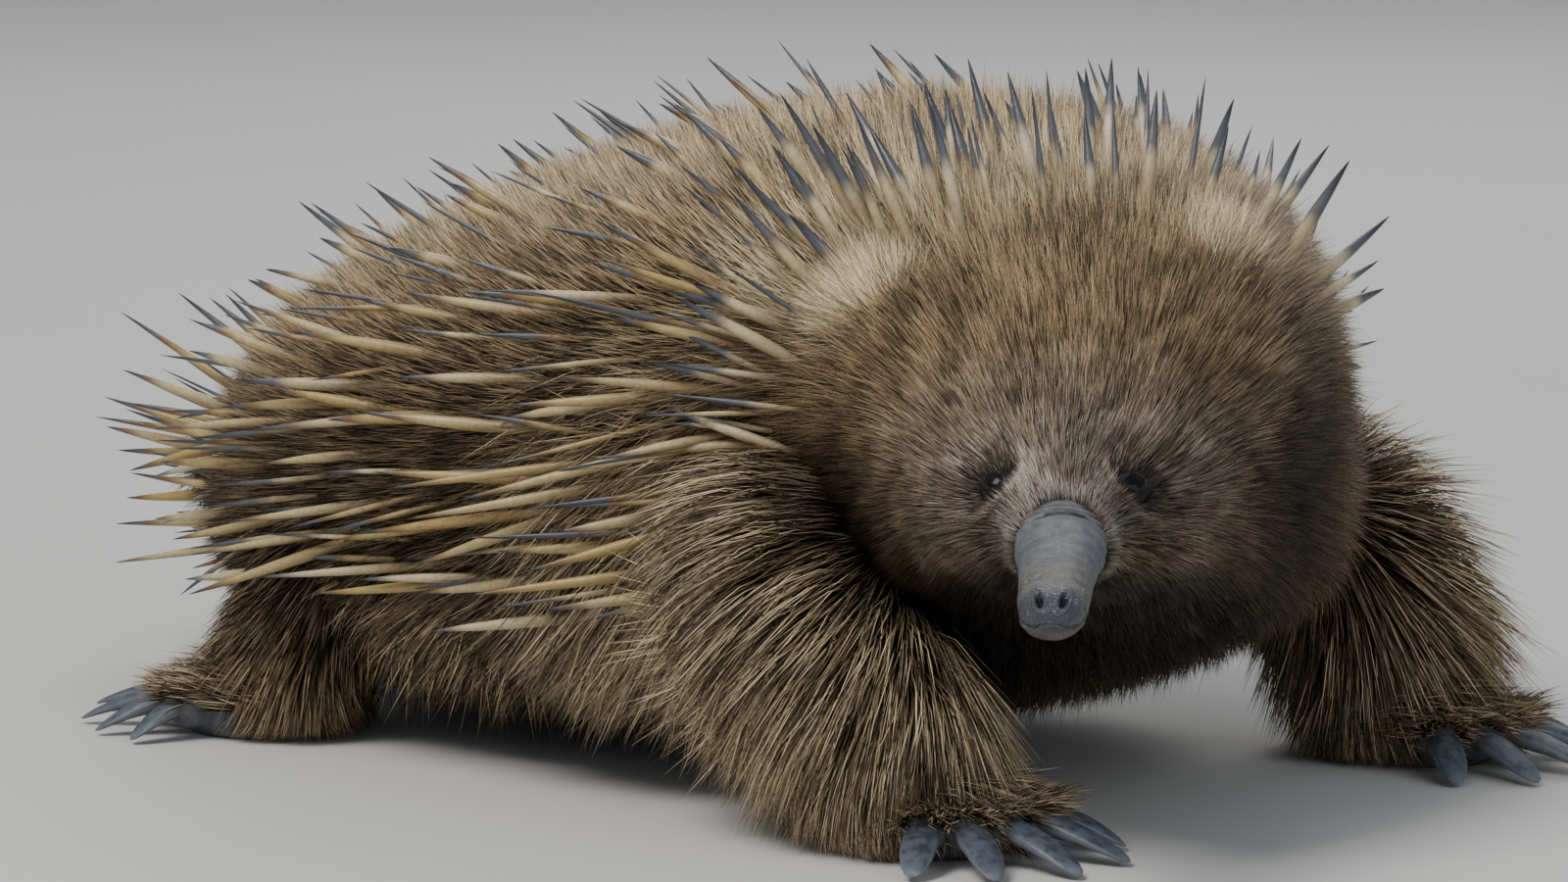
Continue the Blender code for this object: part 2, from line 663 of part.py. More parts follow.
def leg_locks(room, limb, leg, random):
    """Tiers of locks round the outside of a leg. They hang over the foot and fan out a little."""
    front = limb["front"]
    path = curve_through(limb["path"], LEG_PLACES)
    for tier, (height, length) in enumerate(LEG_TIERS[front]):
        i = int(np.argmin(np.abs(path[:, 2] - height)))
        radius = np.interp(i / (LEG_PLACES - 1) * 3, range(4), LEG_RADII[front])
        outward_turn = math.degrees(math.atan2(*(path[i] - path[0])[[1, 0]]))
        angles = np.arange(-LEG_FAN, LEG_FAN + 1, LEG_STEP) + LEG_STEP / 2 * (tier % 2)
        for angle in angles + outward_turn:
            swing = math.radians(angle + random.normal(0, LEG_SPREAD))
            normal = np.array((math.cos(swing), math.sin(swing), 0.0))
            root = path[i] + normal * radius * LEG_ROOT
            direction = unit(normal * LEG_LEAN + np.array(LEG_HANG))
            size = length * random.uniform(*LENGTH_RANGE)
            grow_lock(room, leg.name, root, normal, direction, LEG_CURL * normal, size)
    fuse(leg, f"growth_{leg.name}", "MANIFOLD")


def claws(name, limb):
    """One claw for each toe: it starts face to face with the toe's end and bends down towards the floor."""
    front = limb["front"]
    for number, (angle, length) in enumerate(zip(TOE_ANGLES[front], CLAW_LENGTHS[front]), start=1):
        outward = foot_direction(limb, angle)
        root = np.array((*limb["foot"], TOE_HEIGHT)) + (TOE_REACH[front] + GAP) * outward
        end = root + outward * length
        end[2] = CLAW_TIP_HEIGHT
        shares = np.array((0.0, 0.35, 0.70, 0.92))
        path = root + (end - root) * shares[:, None]
        path[:, 2] = root[2] + (end[2] - root[2]) * shares**1.6
        rings = tube_rings(
            path,
            TOE_HALF_WIDTH[front] * np.array((0.92, 0.90, 0.72, 0.42)),
            TOE_HALF_HEIGHT * np.array((0.80, 0.62, 0.38, 0.20)),
            (0, 0, 1),
            FOOT_SIDES,
        )
        rings[0] += ((root - rings[0]) @ outward)[:, None] * outward
        loft(f"claw_{name}_{number}", rings, tip=end + np.array((0, 0, -0.0004)))


def head():
    """The head with its lids, the eyes in their sockets and the cups of the ears in their pockets."""
    made = body_stretch("head")
    for side, centre in EYES.items():
        normal = EYE_NORMALS[side]
        ring_tube("lid", centre + normal * LID_HEIGHT, normal, LID_RADII, LID_THICKNESS, group="lids")
    fuse(made, "lids")
    for side, centre in EYES.items():
        ball(f"eye_{side}", centre, (EYE_RADIUS,) * 3, EYE_NORMALS[side], segments=12, rings=8, group=PARTS)
        cut(made, ball("socket", centre, (EYE_RADIUS + GAP,) * 3, EYE_NORMALS[side], segments=15, rings=9))
    for side, turn in EAR_TURNS.items():
        centre, normal = body_point(EAR_PLACE, turn), skin_normal(EAR_PLACE, turn)
        ear = ball(f"ear_{side}", centre, EAR_RADII, normal, segments=12, rings=6, group=PARTS)
        inside = [radius - EAR_WALL for radius in EAR_RADII]
        cut(ear, ball("cup", centre + normal * EAR_CUP_RISE, inside, normal, segments=12, rings=6))
        around = [radius + GAP for radius in EAR_RADII]
        cut(made, ball("pocket", centre, around, normal, segments=12, rings=6))
    return made


def beak():
    """The beak with two nostrils on its tip and the line of the mouth round it."""
    made = body_stretch("beak")
    for swing in (-NOSTRIL_SWING, NOSTRIL_SWING):
        centre = skin_point(NOSTRIL_PLACE, 90.0 + swing)
        cut(made, ball("nostril", centre, NOSTRIL_RADII, skin_normal(NOSTRIL_PLACE, 90.0 + swing)))
    inner = body_stretch("beak", extra=-MOUTH_DEPTH, group=CUTTERS)
    start, end = (section_middle(place) for place in (MOUTH_START, BEAK_TIP))
    reach = (end - start).length + MOUTH_ROOM
    slit = box((0, -MOUTH_ROOM, MOUTH_HEIGHT), (reach, MOUTH_ROOM, MOUTH_HEIGHT + MOUTH_OPENING))
    along = (end - start).to_track_quat("X", "Z").to_matrix().to_4x4()
    slit.data.transform(Matrix.Translation(start) @ along)
    cut(slit, inner)
    cut(made, slit)
    return made


def section_middle(place):
    return Vector((skin_point(place, 90.0) + skin_point(place, 270.0)) / 2)


def centre_on_floor():
    """Moves every node so that the middle of the animal's outline is over the origin."""
    nodes = collection(PARTS).objects
    corners = np.concatenate([[corner.co[:] for corner in node.data.vertices] for node in nodes])
    middle = (corners.min(axis=0) + corners.max(axis=0)) / 2
    for node in nodes:
        node.data.transform(Matrix.Translation((-middle[0], -middle[1], 0)))


def paint(node):
    """Gives a node a material of its own, in the finish of its kind."""
    kind = node.name.split("_")[0]
    colour, roughness, metallic = FINISHES.get(kind, FINISHES["coat"])
    material = bpy.data.materials.new(node.name)
    material.use_nodes = True
    principled = material.node_tree.nodes["Principled BSDF"]
    principled.inputs["Base Color"].default_value = (*colour, 1.0)
    principled.inputs["Roughness"].default_value = roughness
    principled.inputs["Metallic"].default_value = metallic
    node.data.materials.clear()
    node.data.materials.append(material)


def main():
    for old in list(bpy.data.objects):
        bpy.data.objects.remove(old)
    random = np.random.default_rng(SEED)
    room = Room()
    head()
    beak()
    trunk = {name: body_stretch(name) for name in ("tail", "torso", "neck")}
    legs = []
    for name, limb in LIMBS.items():
        leg, _ = leg_and_foot(name, limb)
        legs.append((limb, leg))
        claws(name, limb)
    for node in collection(PARTS).objects:
        room.stand(node)
    for limb, leg in legs:
        leg_locks(room, limb, leg, random)
    for name, node in trunk.items():
        locks_on(room, name, random)
        spines_on(room, name, random)
        fuse(node, f"growth_{name}", "MANIFOLD")
    centre_on_floor()
    for node in collection(PARTS).objects:
        paint(node)


main()
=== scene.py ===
"""The looks of the echidna: one skin, tufts of hair, spines, ears, lids, eyes and claws.

Every length is in metres. A place is a distance along the trunk's centre line from the rump, and a turn goes
round a section: 0 is the left side, 90 the top, 180 the right side and 270 the underside.
"""

import json
import math

import bpy
import numpy as np
from bpy.props import FloatProperty, FloatVectorProperty, IntProperty, PointerProperty
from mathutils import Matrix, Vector

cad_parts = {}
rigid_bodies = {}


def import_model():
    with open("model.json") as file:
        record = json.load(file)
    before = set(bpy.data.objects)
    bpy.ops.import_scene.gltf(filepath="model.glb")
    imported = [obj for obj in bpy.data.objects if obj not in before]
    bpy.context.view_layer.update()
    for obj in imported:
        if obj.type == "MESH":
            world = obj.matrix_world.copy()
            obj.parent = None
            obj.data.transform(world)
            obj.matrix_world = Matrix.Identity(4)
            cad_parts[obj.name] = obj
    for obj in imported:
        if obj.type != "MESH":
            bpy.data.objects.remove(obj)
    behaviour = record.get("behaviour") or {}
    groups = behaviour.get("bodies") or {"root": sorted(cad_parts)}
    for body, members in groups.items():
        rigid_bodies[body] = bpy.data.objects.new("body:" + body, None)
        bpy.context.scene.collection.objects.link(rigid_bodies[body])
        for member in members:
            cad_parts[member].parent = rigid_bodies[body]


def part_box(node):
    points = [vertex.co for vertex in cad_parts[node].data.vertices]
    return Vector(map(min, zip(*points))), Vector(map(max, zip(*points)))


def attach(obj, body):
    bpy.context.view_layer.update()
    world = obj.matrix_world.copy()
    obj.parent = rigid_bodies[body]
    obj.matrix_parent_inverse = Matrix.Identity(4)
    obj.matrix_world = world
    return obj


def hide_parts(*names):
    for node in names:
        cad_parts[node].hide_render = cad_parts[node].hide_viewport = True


bl_info = {
    "name": "Echidna",
    "version": (1, 0, 0),
    "blender": (4, 5, 0),
    "location": "3D View > Sidebar > Echidna",
    "description": "Builds the skin, coat, spines and claws of a short-beaked echidna round its solid model",
    "category": "Object",
}

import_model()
BODY, UP = "root", np.array((0.0, 0.0, 1.0))

# Sections of the bare body: place, half width, height of the widest line, top, underside and squareness.
BODY_SECTIONS = np.array([
    (-0.042, 0.006, 0.044, 0.050, 0.038, 2.0),
    (-0.030, 0.012, 0.044, 0.056, 0.033, 2.0),
    (-0.010, 0.018, 0.043, 0.062, 0.028, 2.0),
    (0.010, 0.028, 0.043, 0.068, 0.024, 2.1),
    (0.023, 0.049, 0.045, 0.080, 0.022, 2.2),
    (0.045, 0.068, 0.048, 0.096, 0.017, 2.3),
    (0.080, 0.081, 0.052, 0.110, 0.014, 2.35),
    (0.120, 0.086, 0.057, 0.124, 0.013, 2.4),
    (0.165, 0.086, 0.062, 0.135, 0.014, 2.5),
    (0.205, 0.079, 0.068, 0.138, 0.018, 2.7),
    (0.242, 0.064, 0.076, 0.131, 0.026, 2.9),
    (0.275, 0.052, 0.078, 0.120, 0.036, 2.9),
    (0.302, 0.042, 0.078, 0.108, 0.048, 2.5),
    (0.324, 0.0325, 0.0765, 0.0970, 0.0560, 2.3),
    (0.338, 0.0240, 0.0750, 0.0890, 0.0600, 2.2),
    (0.349, 0.0128, 0.0735, 0.0825, 0.0640, 2.1),
    (0.362, 0.0098, 0.0722, 0.0796, 0.0646, 2.1),
    (0.385, 0.0077, 0.0698, 0.0757, 0.0633, 2.1),
    (0.404, 0.0070, 0.0674, 0.0727, 0.0613, 2.1),
    (0.410, 0.0062, 0.0665, 0.0710, 0.0615, 2.1),
    (0.4135, 0.0042, 0.0660, 0.0686, 0.0631, 2.1),
])
TAIL_TIP, BEAK_TIP = -0.042, 0.4135
RUMP_X = -0.150
TURN_START, TURN_END, TURN_ANGLE = 0.170, 0.310, -49.0
ROLL_START, ROLL_PEAK, ROLL_END, ROLL_ANGLE = 0.190, 0.265, 0.335, 7.5

# How far the solid body stands out from the skin at a place, because of the coat.
COAT_PLACES = (-0.042, 0.010, 0.035, 0.270, 0.300, 0.325, 0.340, 0.350, 0.354)
COAT_DEPTHS = (0.004, 0.006, 0.009, 0.009, 0.009, 0.0065, 0.0035, 0.0010, 0.0)

EYE_PLACE, EYE_TURNS, EYE_RADIUS, EYE_SINK = 0.3425, {"left": 45.0, "right": 135.0}, 0.0046, 0.0022
EAR_PLACE, EAR_TURNS, EAR_RADII = 0.273, {"left": 54.0, "right": 126.0}, (0.0046, 0.0085, 0.0052)
NOSTRIL_PLACE, NOSTRIL_SWING = 0.4106, 26.0
MOUTH_START, MOUTH_HEIGHT, MOUTH_HALF_OPENING, MOUTH_DEPTH = 0.397, -0.00135, 0.00045, 0.0006

# Each limb: its path from inside the trunk to the ankle, the middle of the foot, and the way the foot points.
LIMBS = {
    "fore_right": {
        "path": ((0.052, -0.040, 0.070), (0.080, -0.074, 0.054), (0.105, -0.078, 0.032), (0.117, -0.076, 0.010)),
        "foot": (0.121, -0.074), "heading": -8.0, "front": True,
    },
    "fore_left": {
        "path": ((0.067, 0.038, 0.070), (0.090, 0.070, 0.054), (0.108, 0.080, 0.032), (0.115, 0.082, 0.010)),
        "foot": (0.121, 0.083), "heading": 8.0, "front": True,
    },
    "hind_right": {
        "path": ((-0.078, -0.034, 0.062), (-0.066, -0.066, 0.045), (-0.078, -0.076, 0.026), (-0.084, -0.077, 0.010)),
        "foot": (-0.090, -0.080), "heading": -150.0, "front": False,
    },
    "hind_left": {
        "path": ((-0.070, 0.034, 0.062), (-0.056, 0.066, 0.045), (-0.066, 0.077, 0.026), (-0.071, 0.078, 0.010)),
        "foot": (-0.077, 0.081), "heading": 152.0, "front": False,
    },
}
LEG_RADII = {True: (0.026, 0.022, 0.0155, 0.0135), False: (0.025, 0.020, 0.0145, 0.0125)}
PAD_RADII = {True: (0.0205, 0.0180, 0.0105), False: (0.0195, 0.0155, 0.0105)}
PAD_HEIGHT = 0.0060
TOE_REACH = {True: 0.0270, False: 0.0245}
TOE_HALF_WIDTH, TOE_HALF_HEIGHT, TOE_HEIGHT = {True: 0.0043, False: 0.0034}, 0.0040, 0.0072
TOE_ANGLES = {True: (-46, -23, 0, 23, 46), False: (-46, -22, 2, 25, 48)}
CLAW_LENGTHS = {True: (0.014, 0.019, 0.021, 0.019, 0.013), False: (0.010, 0.026, 0.019, 0.014, 0.010)}
CLAW_TIP_HEIGHT, CLAW_ROOT_INSIDE = 0.0012, 0.0030
LEG_COUNT, MEASURE_STEPS, PLACE_STEPS, PLACE_GROUP = 120, 300, 400, 10000
RIPPLE_WAVES = 7


def smooth_step(share):
    """0 up to 0, 1 from 1 on, and the S-shaped 3s^2 - 2s^3 between them."""
    share = np.clip(share, 0.0, 1.0)
    return share * share * (3.0 - 2.0 * share)


def bell(value, middle, width):
    """1 at the middle and less on both sides of it: exp(-((value - middle) / width)^2)."""
    return np.exp(-(((value - middle) / width) ** 2))


def circle(sides):
    """The angles of evenly spread points round a circle, in radians."""
    return np.arange(sides) * 2 * math.pi / sides


def hermite(values, slopes, i, t, span=1.0):
    """A cubic Hermite curve from the value of number i to the next one, at the way t between them."""
    return (
        values[i] * (1 + 2 * t) * (1 - t) ** 2
        + values[i + 1] * t * t * (3 - 2 * t)
        + slopes[i] * span * t * (1 - t) ** 2
        - slopes[i + 1] * span * t * t * (1 - t)
    )


def unit(vectors):
    """The same directions with a length of 1."""
    return vectors / np.maximum(np.linalg.norm(vectors, axis=-1, keepdims=True), 1e-12)


def centre_line_table():
    """Place, x, y and heading along the centre line, whose heading follows an S-curve."""
    places = np.linspace(TAIL_TIP - 0.01, BEAK_TIP + 0.01, 1201)
    headings = math.radians(TURN_ANGLE) * smooth_step((places - TURN_START) / (TURN_END - TURN_START))
    steps = np.diff(places, prepend=places[0])
    x, y = np.cumsum(np.cos(headings) * steps), np.cumsum(np.sin(headings) * steps)
    return places, x - np.interp(0.0, places, x) + RUMP_X, y, headings


LINE_PLACES, LINE_X, LINE_Y, LINE_HEADINGS = centre_line_table()


def section_sizes(place):
    """The sizes of the section at any place: cubic Hermite curves through the known sections."""
    known, sizes = BODY_SECTIONS[:, 0], BODY_SECTIONS[:, 1:]
    slopes = np.gradient(sizes, known, axis=0)
    i = np.clip(np.searchsorted(known, place) - 1, 0, len(known) - 2)
    span = known[i + 1] - known[i]
    return hermite(sizes, slopes, i, ((place - known[i]) / span)[..., None], span[..., None])


def roll_at(place):
    """How far a section leans to one side, in radians: up to a peak at the neck and back to nothing."""
    return math.radians(ROLL_ANGLE) * (
        smooth_step((place - ROLL_START) / (ROLL_PEAK - ROLL_START))
        - smooth_step((place - ROLL_PEAK) / (ROLL_END - ROLL_PEAK))
    )


def modelled_skin(place, turn):
    """The bare skin before it is moved over the frame's origin: superellipses, rolled and set on the line."""
    place, turn = np.broadcast_arrays(np.asarray(place, float), np.radians(turn))
    half, widest, top, under, squareness = np.moveaxis(section_sizes(place), -1, 0)
    across, upward, power = np.cos(turn), np.sin(turn), 2.0 / squareness
    side = half * np.sign(across) * np.abs(across) ** power
    rise = np.where(upward > 0, top - widest, widest - under) * np.sign(upward) * np.abs(upward) ** power
    roll = roll_at(place)
    side, rise = side * np.cos(roll) - rise * np.sin(roll), side * np.sin(roll) + rise * np.cos(roll)
    heading = np.interp(place, LINE_PLACES, LINE_HEADINGS)
    x = np.interp(place, LINE_PLACES, LINE_X) - side * np.sin(heading)
    y = np.interp(place, LINE_PLACES, LINE_Y) + side * np.cos(heading)
    return np.stack([x, y, widest + rise], axis=-1)


def modelled_normal(place, turn):
    """The outward direction of the skin: the cross product of the ways round it and along it."""
    place, turn = np.asarray(place, float), np.asarray(turn, float)
    along = modelled_skin(place + 0.001, turn) - modelled_skin(place - 0.001, turn)
    around = modelled_skin(place, turn + 1.0) - modelled_skin(place, turn - 1.0)
    return unit(np.cross(around, along))


def frame_shift():
    """How far the frame's origin is from the modelled one: the box of an eye gives where the eye is."""
    low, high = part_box("eye_right")
    turn = EYE_TURNS["right"]
    modelled = modelled_skin(EYE_PLACE, turn) - modelled_normal(EYE_PLACE, turn) * EYE_SINK
    shift = (np.array(low) + np.array(high)) / 2 - modelled
    return np.array((shift[0], shift[1], 0.0))


SHIFT = frame_shift()
EYE_NORMALS = {side: modelled_normal(EYE_PLACE, turn) for side, turn in EYE_TURNS.items()}


def skin_point(place, turn):
    """The bare skin where the frame has it."""
    return modelled_skin(place, turn) + SHIFT


EYES = {side: skin_point(EYE_PLACE, turn) - EYE_NORMALS[side] * EYE_SINK for side, turn in EYE_TURNS.items()}


def ripples(points, wavelength, seed):
    """Smooth unevenness, mostly from -1 to 1: sine waves of like length in many directions."""
    random = np.random.default_rng(seed)
    total = np.zeros(np.shape(points)[:-1])
    for _ in range(RIPPLE_WAVES):
        direction = unit(random.normal(size=3)) * 2 * math.pi / (wavelength * random.uniform(0.7, 1.4))
        total += np.sin(points @ direction + random.uniform(0, 2 * math.pi))
    return total / math.sqrt(RIPPLE_WAVES) / 1.5


def nearest_eye(points):
    """The distance to the nearest eye and the direction away from it."""
    away = np.stack([points - centre for centre in EYES.values()])
    reach = np.linalg.norm(away, axis=-1)
    first = reach[0] < reach[1]
    return np.where(first, reach[0], reach[1]), unit(np.where(first[..., None], away[0], away[1]))


def curve_through(points, count):
    """Points along a cubic Hermite curve through a few given ones, evenly spread between them."""
    points = np.array(points, float)
    shares = np.linspace(0, len(points) - 1, count)
    slopes = np.gradient(points, axis=0)
    i = np.clip(shares.astype(int), 0, len(points) - 2)
    return hermite(points, slopes, i, (shares - i)[:, None])


class Leg:
    """The bare leg of a limb: round sections along its path, with a frame at many shares."""

    def __init__(self, limb):
        self.front = limb["front"]
        self.path = curve_through(limb["path"], LEG_COUNT) + SHIFT
        self.shares = np.linspace(0, 1, LEG_COUNT)
        self.radii = np.interp(self.shares, np.linspace(0, 1, 4), LEG_RADII[self.front])
        tangents = unit(np.gradient(self.path, axis=0))
        bend = np.cross(self.path[LEG_COUNT // 2] - self.path[0], self.path[-1] - self.path[LEG_COUNT // 2])
        self.across = unit(np.cross(tangents, bend))
        self.raised = np.cross(self.across, tangents)
        self.tangents = tangents
        self.foot = np.array((*limb["foot"], 0.0)) + SHIFT
        self.heading = limb["heading"]

    def at(self, values, share):
        """A row of values at any share of the path, interpolated between the known ones."""
        return np.stack([np.interp(share, self.shares, column) for column in values.T], axis=-1)

    def frame(self, share, angle):
        """The middle of the leg, its outward direction at an angle, and the direction down along it."""
        swing = np.radians(angle)[..., None]
        outward = np.cos(swing) * self.at(self.across, share) + np.sin(swing) * self.at(self.raised, share)
        return self.at(self.path, share), unit(outward), unit(self.at(self.tangents, share))

    def radius(self, share):
        return np.interp(share, self.shares, self.radii)

    def forward(self, angle):
        """A level direction at an angle from the way that the foot points."""
        turned = np.radians(self.heading + np.asarray(angle, float))
        return np.stack([np.cos(turned), np.sin(turned), 0 * turned], axis=-1)


LEGS = {name: Leg(limb) for name, limb in LIMBS.items()}


def inside_leg(points, margin=0.0):
    """True where a point lies in one of the bare legs: nearer to the path than the leg's radius there."""
    within = np.zeros(len(points), bool)
    for leg in LEGS.values():
        spots, radii = leg.path[::4], leg.radii[::4]
        apart = np.linalg.norm(points[:, None] - spots[None], axis=-1)
        within |= (apart < radii[None] - margin).any(axis=1)
    return within


def line_points(count):
    """Evenly spread places along the centre line, and the level points there."""
    places = np.linspace(TAIL_TIP, BEAK_TIP, count)
    return places, np.stack([np.interp(places, LINE_PLACES, xy) for xy in (LINE_X, LINE_Y)], axis=-1)


def beside_line(points, place):
    """How far points are to the left of the centre line at their places."""
    heading = np.interp(place, LINE_PLACES, LINE_HEADINGS)
    x = points[:, 0] - SHIFT[0] - np.interp(place, LINE_PLACES, LINE_X)
    y = points[:, 1] - SHIFT[1] - np.interp(place, LINE_PLACES, LINE_Y)
    return -x * np.sin(heading) + y * np.cos(heading)


def trunk_measure(points, margin=0.0):
    """How far out of the trunk's middle points are: 1 on the section at the nearest place."""
    places, line = line_points(MEASURE_STEPS)
    apart = np.linalg.norm(points[:, None, :2] - (line + SHIFT[:2])[None], axis=-1)
    place = places[np.argmin(apart, axis=1)]
    half, widest, top, under, power = np.moveaxis(section_sizes(place), -1, 0)
    side, rise = beside_line(points, place), points[:, 2] - widest
    high = np.where(rise > 0, top - widest, widest - under)
    powers = (np.abs(side) / (half - margin)) ** power + (np.abs(rise) / (high - margin)) ** power
    return powers ** (1.0 / power)


PLAIN_SOCKETS = {"roughness": "Roughness", "specular": "Specular IOR Level"}


def material(name, **values):
    """A new material, a way to add nodes to it, and its shader's sockets, with the values given."""
    made = bpy.data.materials.new(name)
    made.use_nodes = True
    shader = made.node_tree.nodes["Principled BSDF"].inputs
    for title, value in values.items():
        shader[PLAIN_SOCKETS[title]].default_value = value
    return made, Nodes(made.node_tree), shader


def new_mesh(name, points, faces):
    """An object at the origin from arrays: its points and a list of arrays of faces of equal size each."""
    mesh = bpy.data.meshes.new(name)
    sizes = np.concatenate([np.full(len(group), group.shape[1], np.int32) for group in faces])
    corners = np.concatenate([group.reshape(-1) for group in faces]).astype(np.int32)
    mesh.vertices.add(len(points))
    mesh.vertices.foreach_set("co", np.asarray(points, np.float32).reshape(-1))
    mesh.loops.add(len(corners))
    mesh.loops.foreach_set("vertex_index", corners)
    mesh.polygons.add(len(sizes))
    mesh.polygons.foreach_set("loop_start", np.concatenate([[0], np.cumsum(sizes)[:-1]]).astype(np.int32))
    mesh.polygons.foreach_set("loop_total", sizes)
    mesh.update(calc_edges=True)
    mesh.validate()
    mesh.polygons.foreach_set("use_smooth", np.ones(len(mesh.polygons), bool))
    made = bpy.data.objects.new(name, mesh)
    bpy.context.scene.collection.objects.link(made)
    return made


def add_values(made, **layers):
    """Stores one number for each point, under the name of each layer."""
    for name, values in layers.items():
        layer = made.data.attributes.new(name, "FLOAT", "POINT")
        layer.data.foreach_set("value", np.asarray(values, np.float32))


def add_map(made, name, places):
    """Stores a flat place for each point as a UV map, copied to every corner of a face."""
    corners = np.zeros(len(made.data.loops), np.int32)
    made.data.loops.foreach_get("vertex_index", corners)
    layer = made.data.uv_layers.new(name=name)
    layer.data.foreach_set("uv", np.asarray(places, np.float32)[corners].reshape(-1))


def tube_faces(rings, sides, first=0):
    """The four-sided faces of a closed tube whose points are numbered ring by ring."""
    ring, side = np.meshgrid(np.arange(rings - 1), np.arange(sides), indexing="ij")
    here, following = first + ring * sides, first + (ring + 1) * sides
    beside = (side + 1) % sides
    corners = (here + side, here + beside, following + beside, following + side)
    return np.stack(corners, axis=-1).reshape(-1, 4)


def tube_mesh(name, rings):
    """A closed surface through rings of points, ended by fans to the middle of the first and last ring."""
    count, sides = rings.shape[:2]
    points = np.concatenate([rings.reshape(-1, 3), rings[:1].mean(axis=1), rings[-1:].mean(axis=1)])
    beside = (np.arange(sides) + 1) % sides
    start = np.stack([beside, np.arange(sides), np.full(sides, count * sides)], axis=-1)
    last = (count - 1) * sides
    end = np.stack([last + np.arange(sides), last + beside, np.full(sides, count * sides + 1)], axis=-1)
    return new_mesh(name, points, [tube_faces(count, sides), start, end])


def finish_piece(made, finish, *nodes, slot=None):
    """Gives a piece its material, lets it ride on the body and hides the nodes that it stands for."""
    made.data.materials.clear()
    made.data.materials.append(finish)
    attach(made, BODY)
    if nodes:
        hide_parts(*nodes)
    return made


def apply_modifiers(made):
    """The same object with its modifiers made real."""
    graph = bpy.context.evaluated_depsgraph_get()
    mesh = bpy.data.meshes.new_from_object(made.evaluated_get(graph))
    old = made.data
    made.modifiers.clear()
    made.data = mesh
    bpy.data.meshes.remove(old)
    return made


def trunk_place(points):
    """The place and turn of points near the trunk, from the nearest point of the centre line."""
    places, line = line_points(PLACE_STEPS)
    nearest = []
    for group in np.array_split(points[:, :2] - SHIFT[:2], 1 + len(points) // PLACE_GROUP):
        nearest.append(np.argmin(np.linalg.norm(group[:, None] - line[None], axis=-1), axis=1))
    place = places[np.concatenate(nearest)]
    rise = points[:, 2] - section_sizes(place)[:, 1]
    return place, np.degrees(np.arctan2(rise, beside_line(points, place))) % 360.0


# The coat along the trunk, by place: length at the top and low on the side, rise of the root and of the tip,
# tufts to the square millimetre, and a tuft's width.
COAT = np.array([
    (-0.042, 0.0150, 0.0150, 20.0, 4.0, 1.90, 0.00046),
    (0.010, 0.0125, 0.0120, 66.0, 58.0, 1.75, 0.00054),
    (0.045, 0.0138, 0.0125, 80.0, 76.0, 1.62, 0.00058),
    (0.120, 0.0142, 0.0128, 82.0, 78.0, 1.62, 0.00058),
    (0.185, 0.0148, 0.0135, 80.0, 74.0, 1.62, 0.00058),
    (0.222, 0.0158, 0.0180, 66.0, 52.0, 1.75, 0.00054),
    (0.250, 0.0152, 0.0180, 62.0, 46.0, 2.35, 0.00044),
    (0.275, 0.0135, 0.0150, 58.0, 46.0, 3.20, 0.00039),
    (0.302, 0.0108, 0.0112, 50.0, 40.0, 4.30, 0.00036),
    (0.324, 0.0080, 0.0088, 40.0, 30.0, 6.20, 0.00034),
    (0.340, 0.0064, 0.0072, 31.0, 22.0, 7.60, 0.00029),
    (0.352, 0.0056, 0.0062, 28.0, 20.0, 7.60, 0.00026),
    (0.368, 0.0042, 0.0046, 24.0, 16.0, 7.00, 0.00023),
])
# The stretches of the coat that are pieces of their own: where each starts and ends.
COAT_STRETCHES = {
    "coat_tail": (-0.042, 0.012),
    "coat_rump": (0.012, 0.062),
    "coat_loins": (0.062, 0.110),
    "coat_back": (0.110, 0.156),
    "coat_shoulders": (0.156, 0.200),
    "coat_neck": (0.200, 0.238),
    "coat_nape": (0.238, 0.268),
    "coat_crown": (0.268, 0.298),
    "coat_brow": (0.298, 0.324),
    "coat_face": (0.324, 0.369),
}
BELLY_SHARE, BELLY_START, BELLY_SPREAD, COAT_CELLS = 0.28, 0.45, 0.4, (260, 180)
# Long hair on a shoulder and low along a flank: from and to which place, and round which turn how widely.
SHOULDER_FIELD = (0.150, 0.245), 194.0, 30.0
SKIRT_FIELD = (0.020, 0.170), 214.0, 20.0
FIELD_EDGE = 0.03
LOCK_TURNS, LOCK_PLACES = {"locks_right": (150.0, 262.0), "locks_left": (-82.0, 30.0)}, (0.010, 0.245)
LOCK_LENGTH, LOCK_DENSITY, LOCK_WIDTH, LOCK_RISE = 0.0330, 0.70, 0.00052, (28.0, 8.0)
# The least and the most that plush rises. From which share of long hair on the locks stand at full density,
# and how much they thin the plush below.
RISE_RANGE, LOCK_FULL, UNDER_LOCKS = (5.0, 100.0), 0.6, 0.45
# How widths of tufts vary, how far round an ear there are none, and how the map of a piece fits its square.
WIDTH_RANGE, EAR_BARE, MAP_SHARE, MAP_EDGE = (0.75, 1.2), 0.0035, 0.97, 0.015
EDGE_SIDE, EDGE_TOP, EDGE_SPREAD = 0.3655, 0.0120, 54.0
EDGE_CHIN, CHIN_START, CHIN_SPREAD = 0.004, 110.0, 50.0
LID_BARE, EYE_FREE = 0.0040, 0.0090


def coat_row(place, column):
    """A column of the coat's table at any place."""
    return np.interp(place, COAT[:, 0], COAT[:, column])


def coat_edge(turn):
    """The place where the coat ends at the beak: further back on top, and further forward down the sides."""
    off_top = np.abs((turn - 90.0 + 180.0) % 360.0 - 180.0)
    below = smooth_step((off_top - CHIN_START) / CHIN_SPREAD)
    return EDGE_SIDE - EDGE_TOP * bell(turn, 90.0, EDGE_SPREAD) - EDGE_CHIN * below


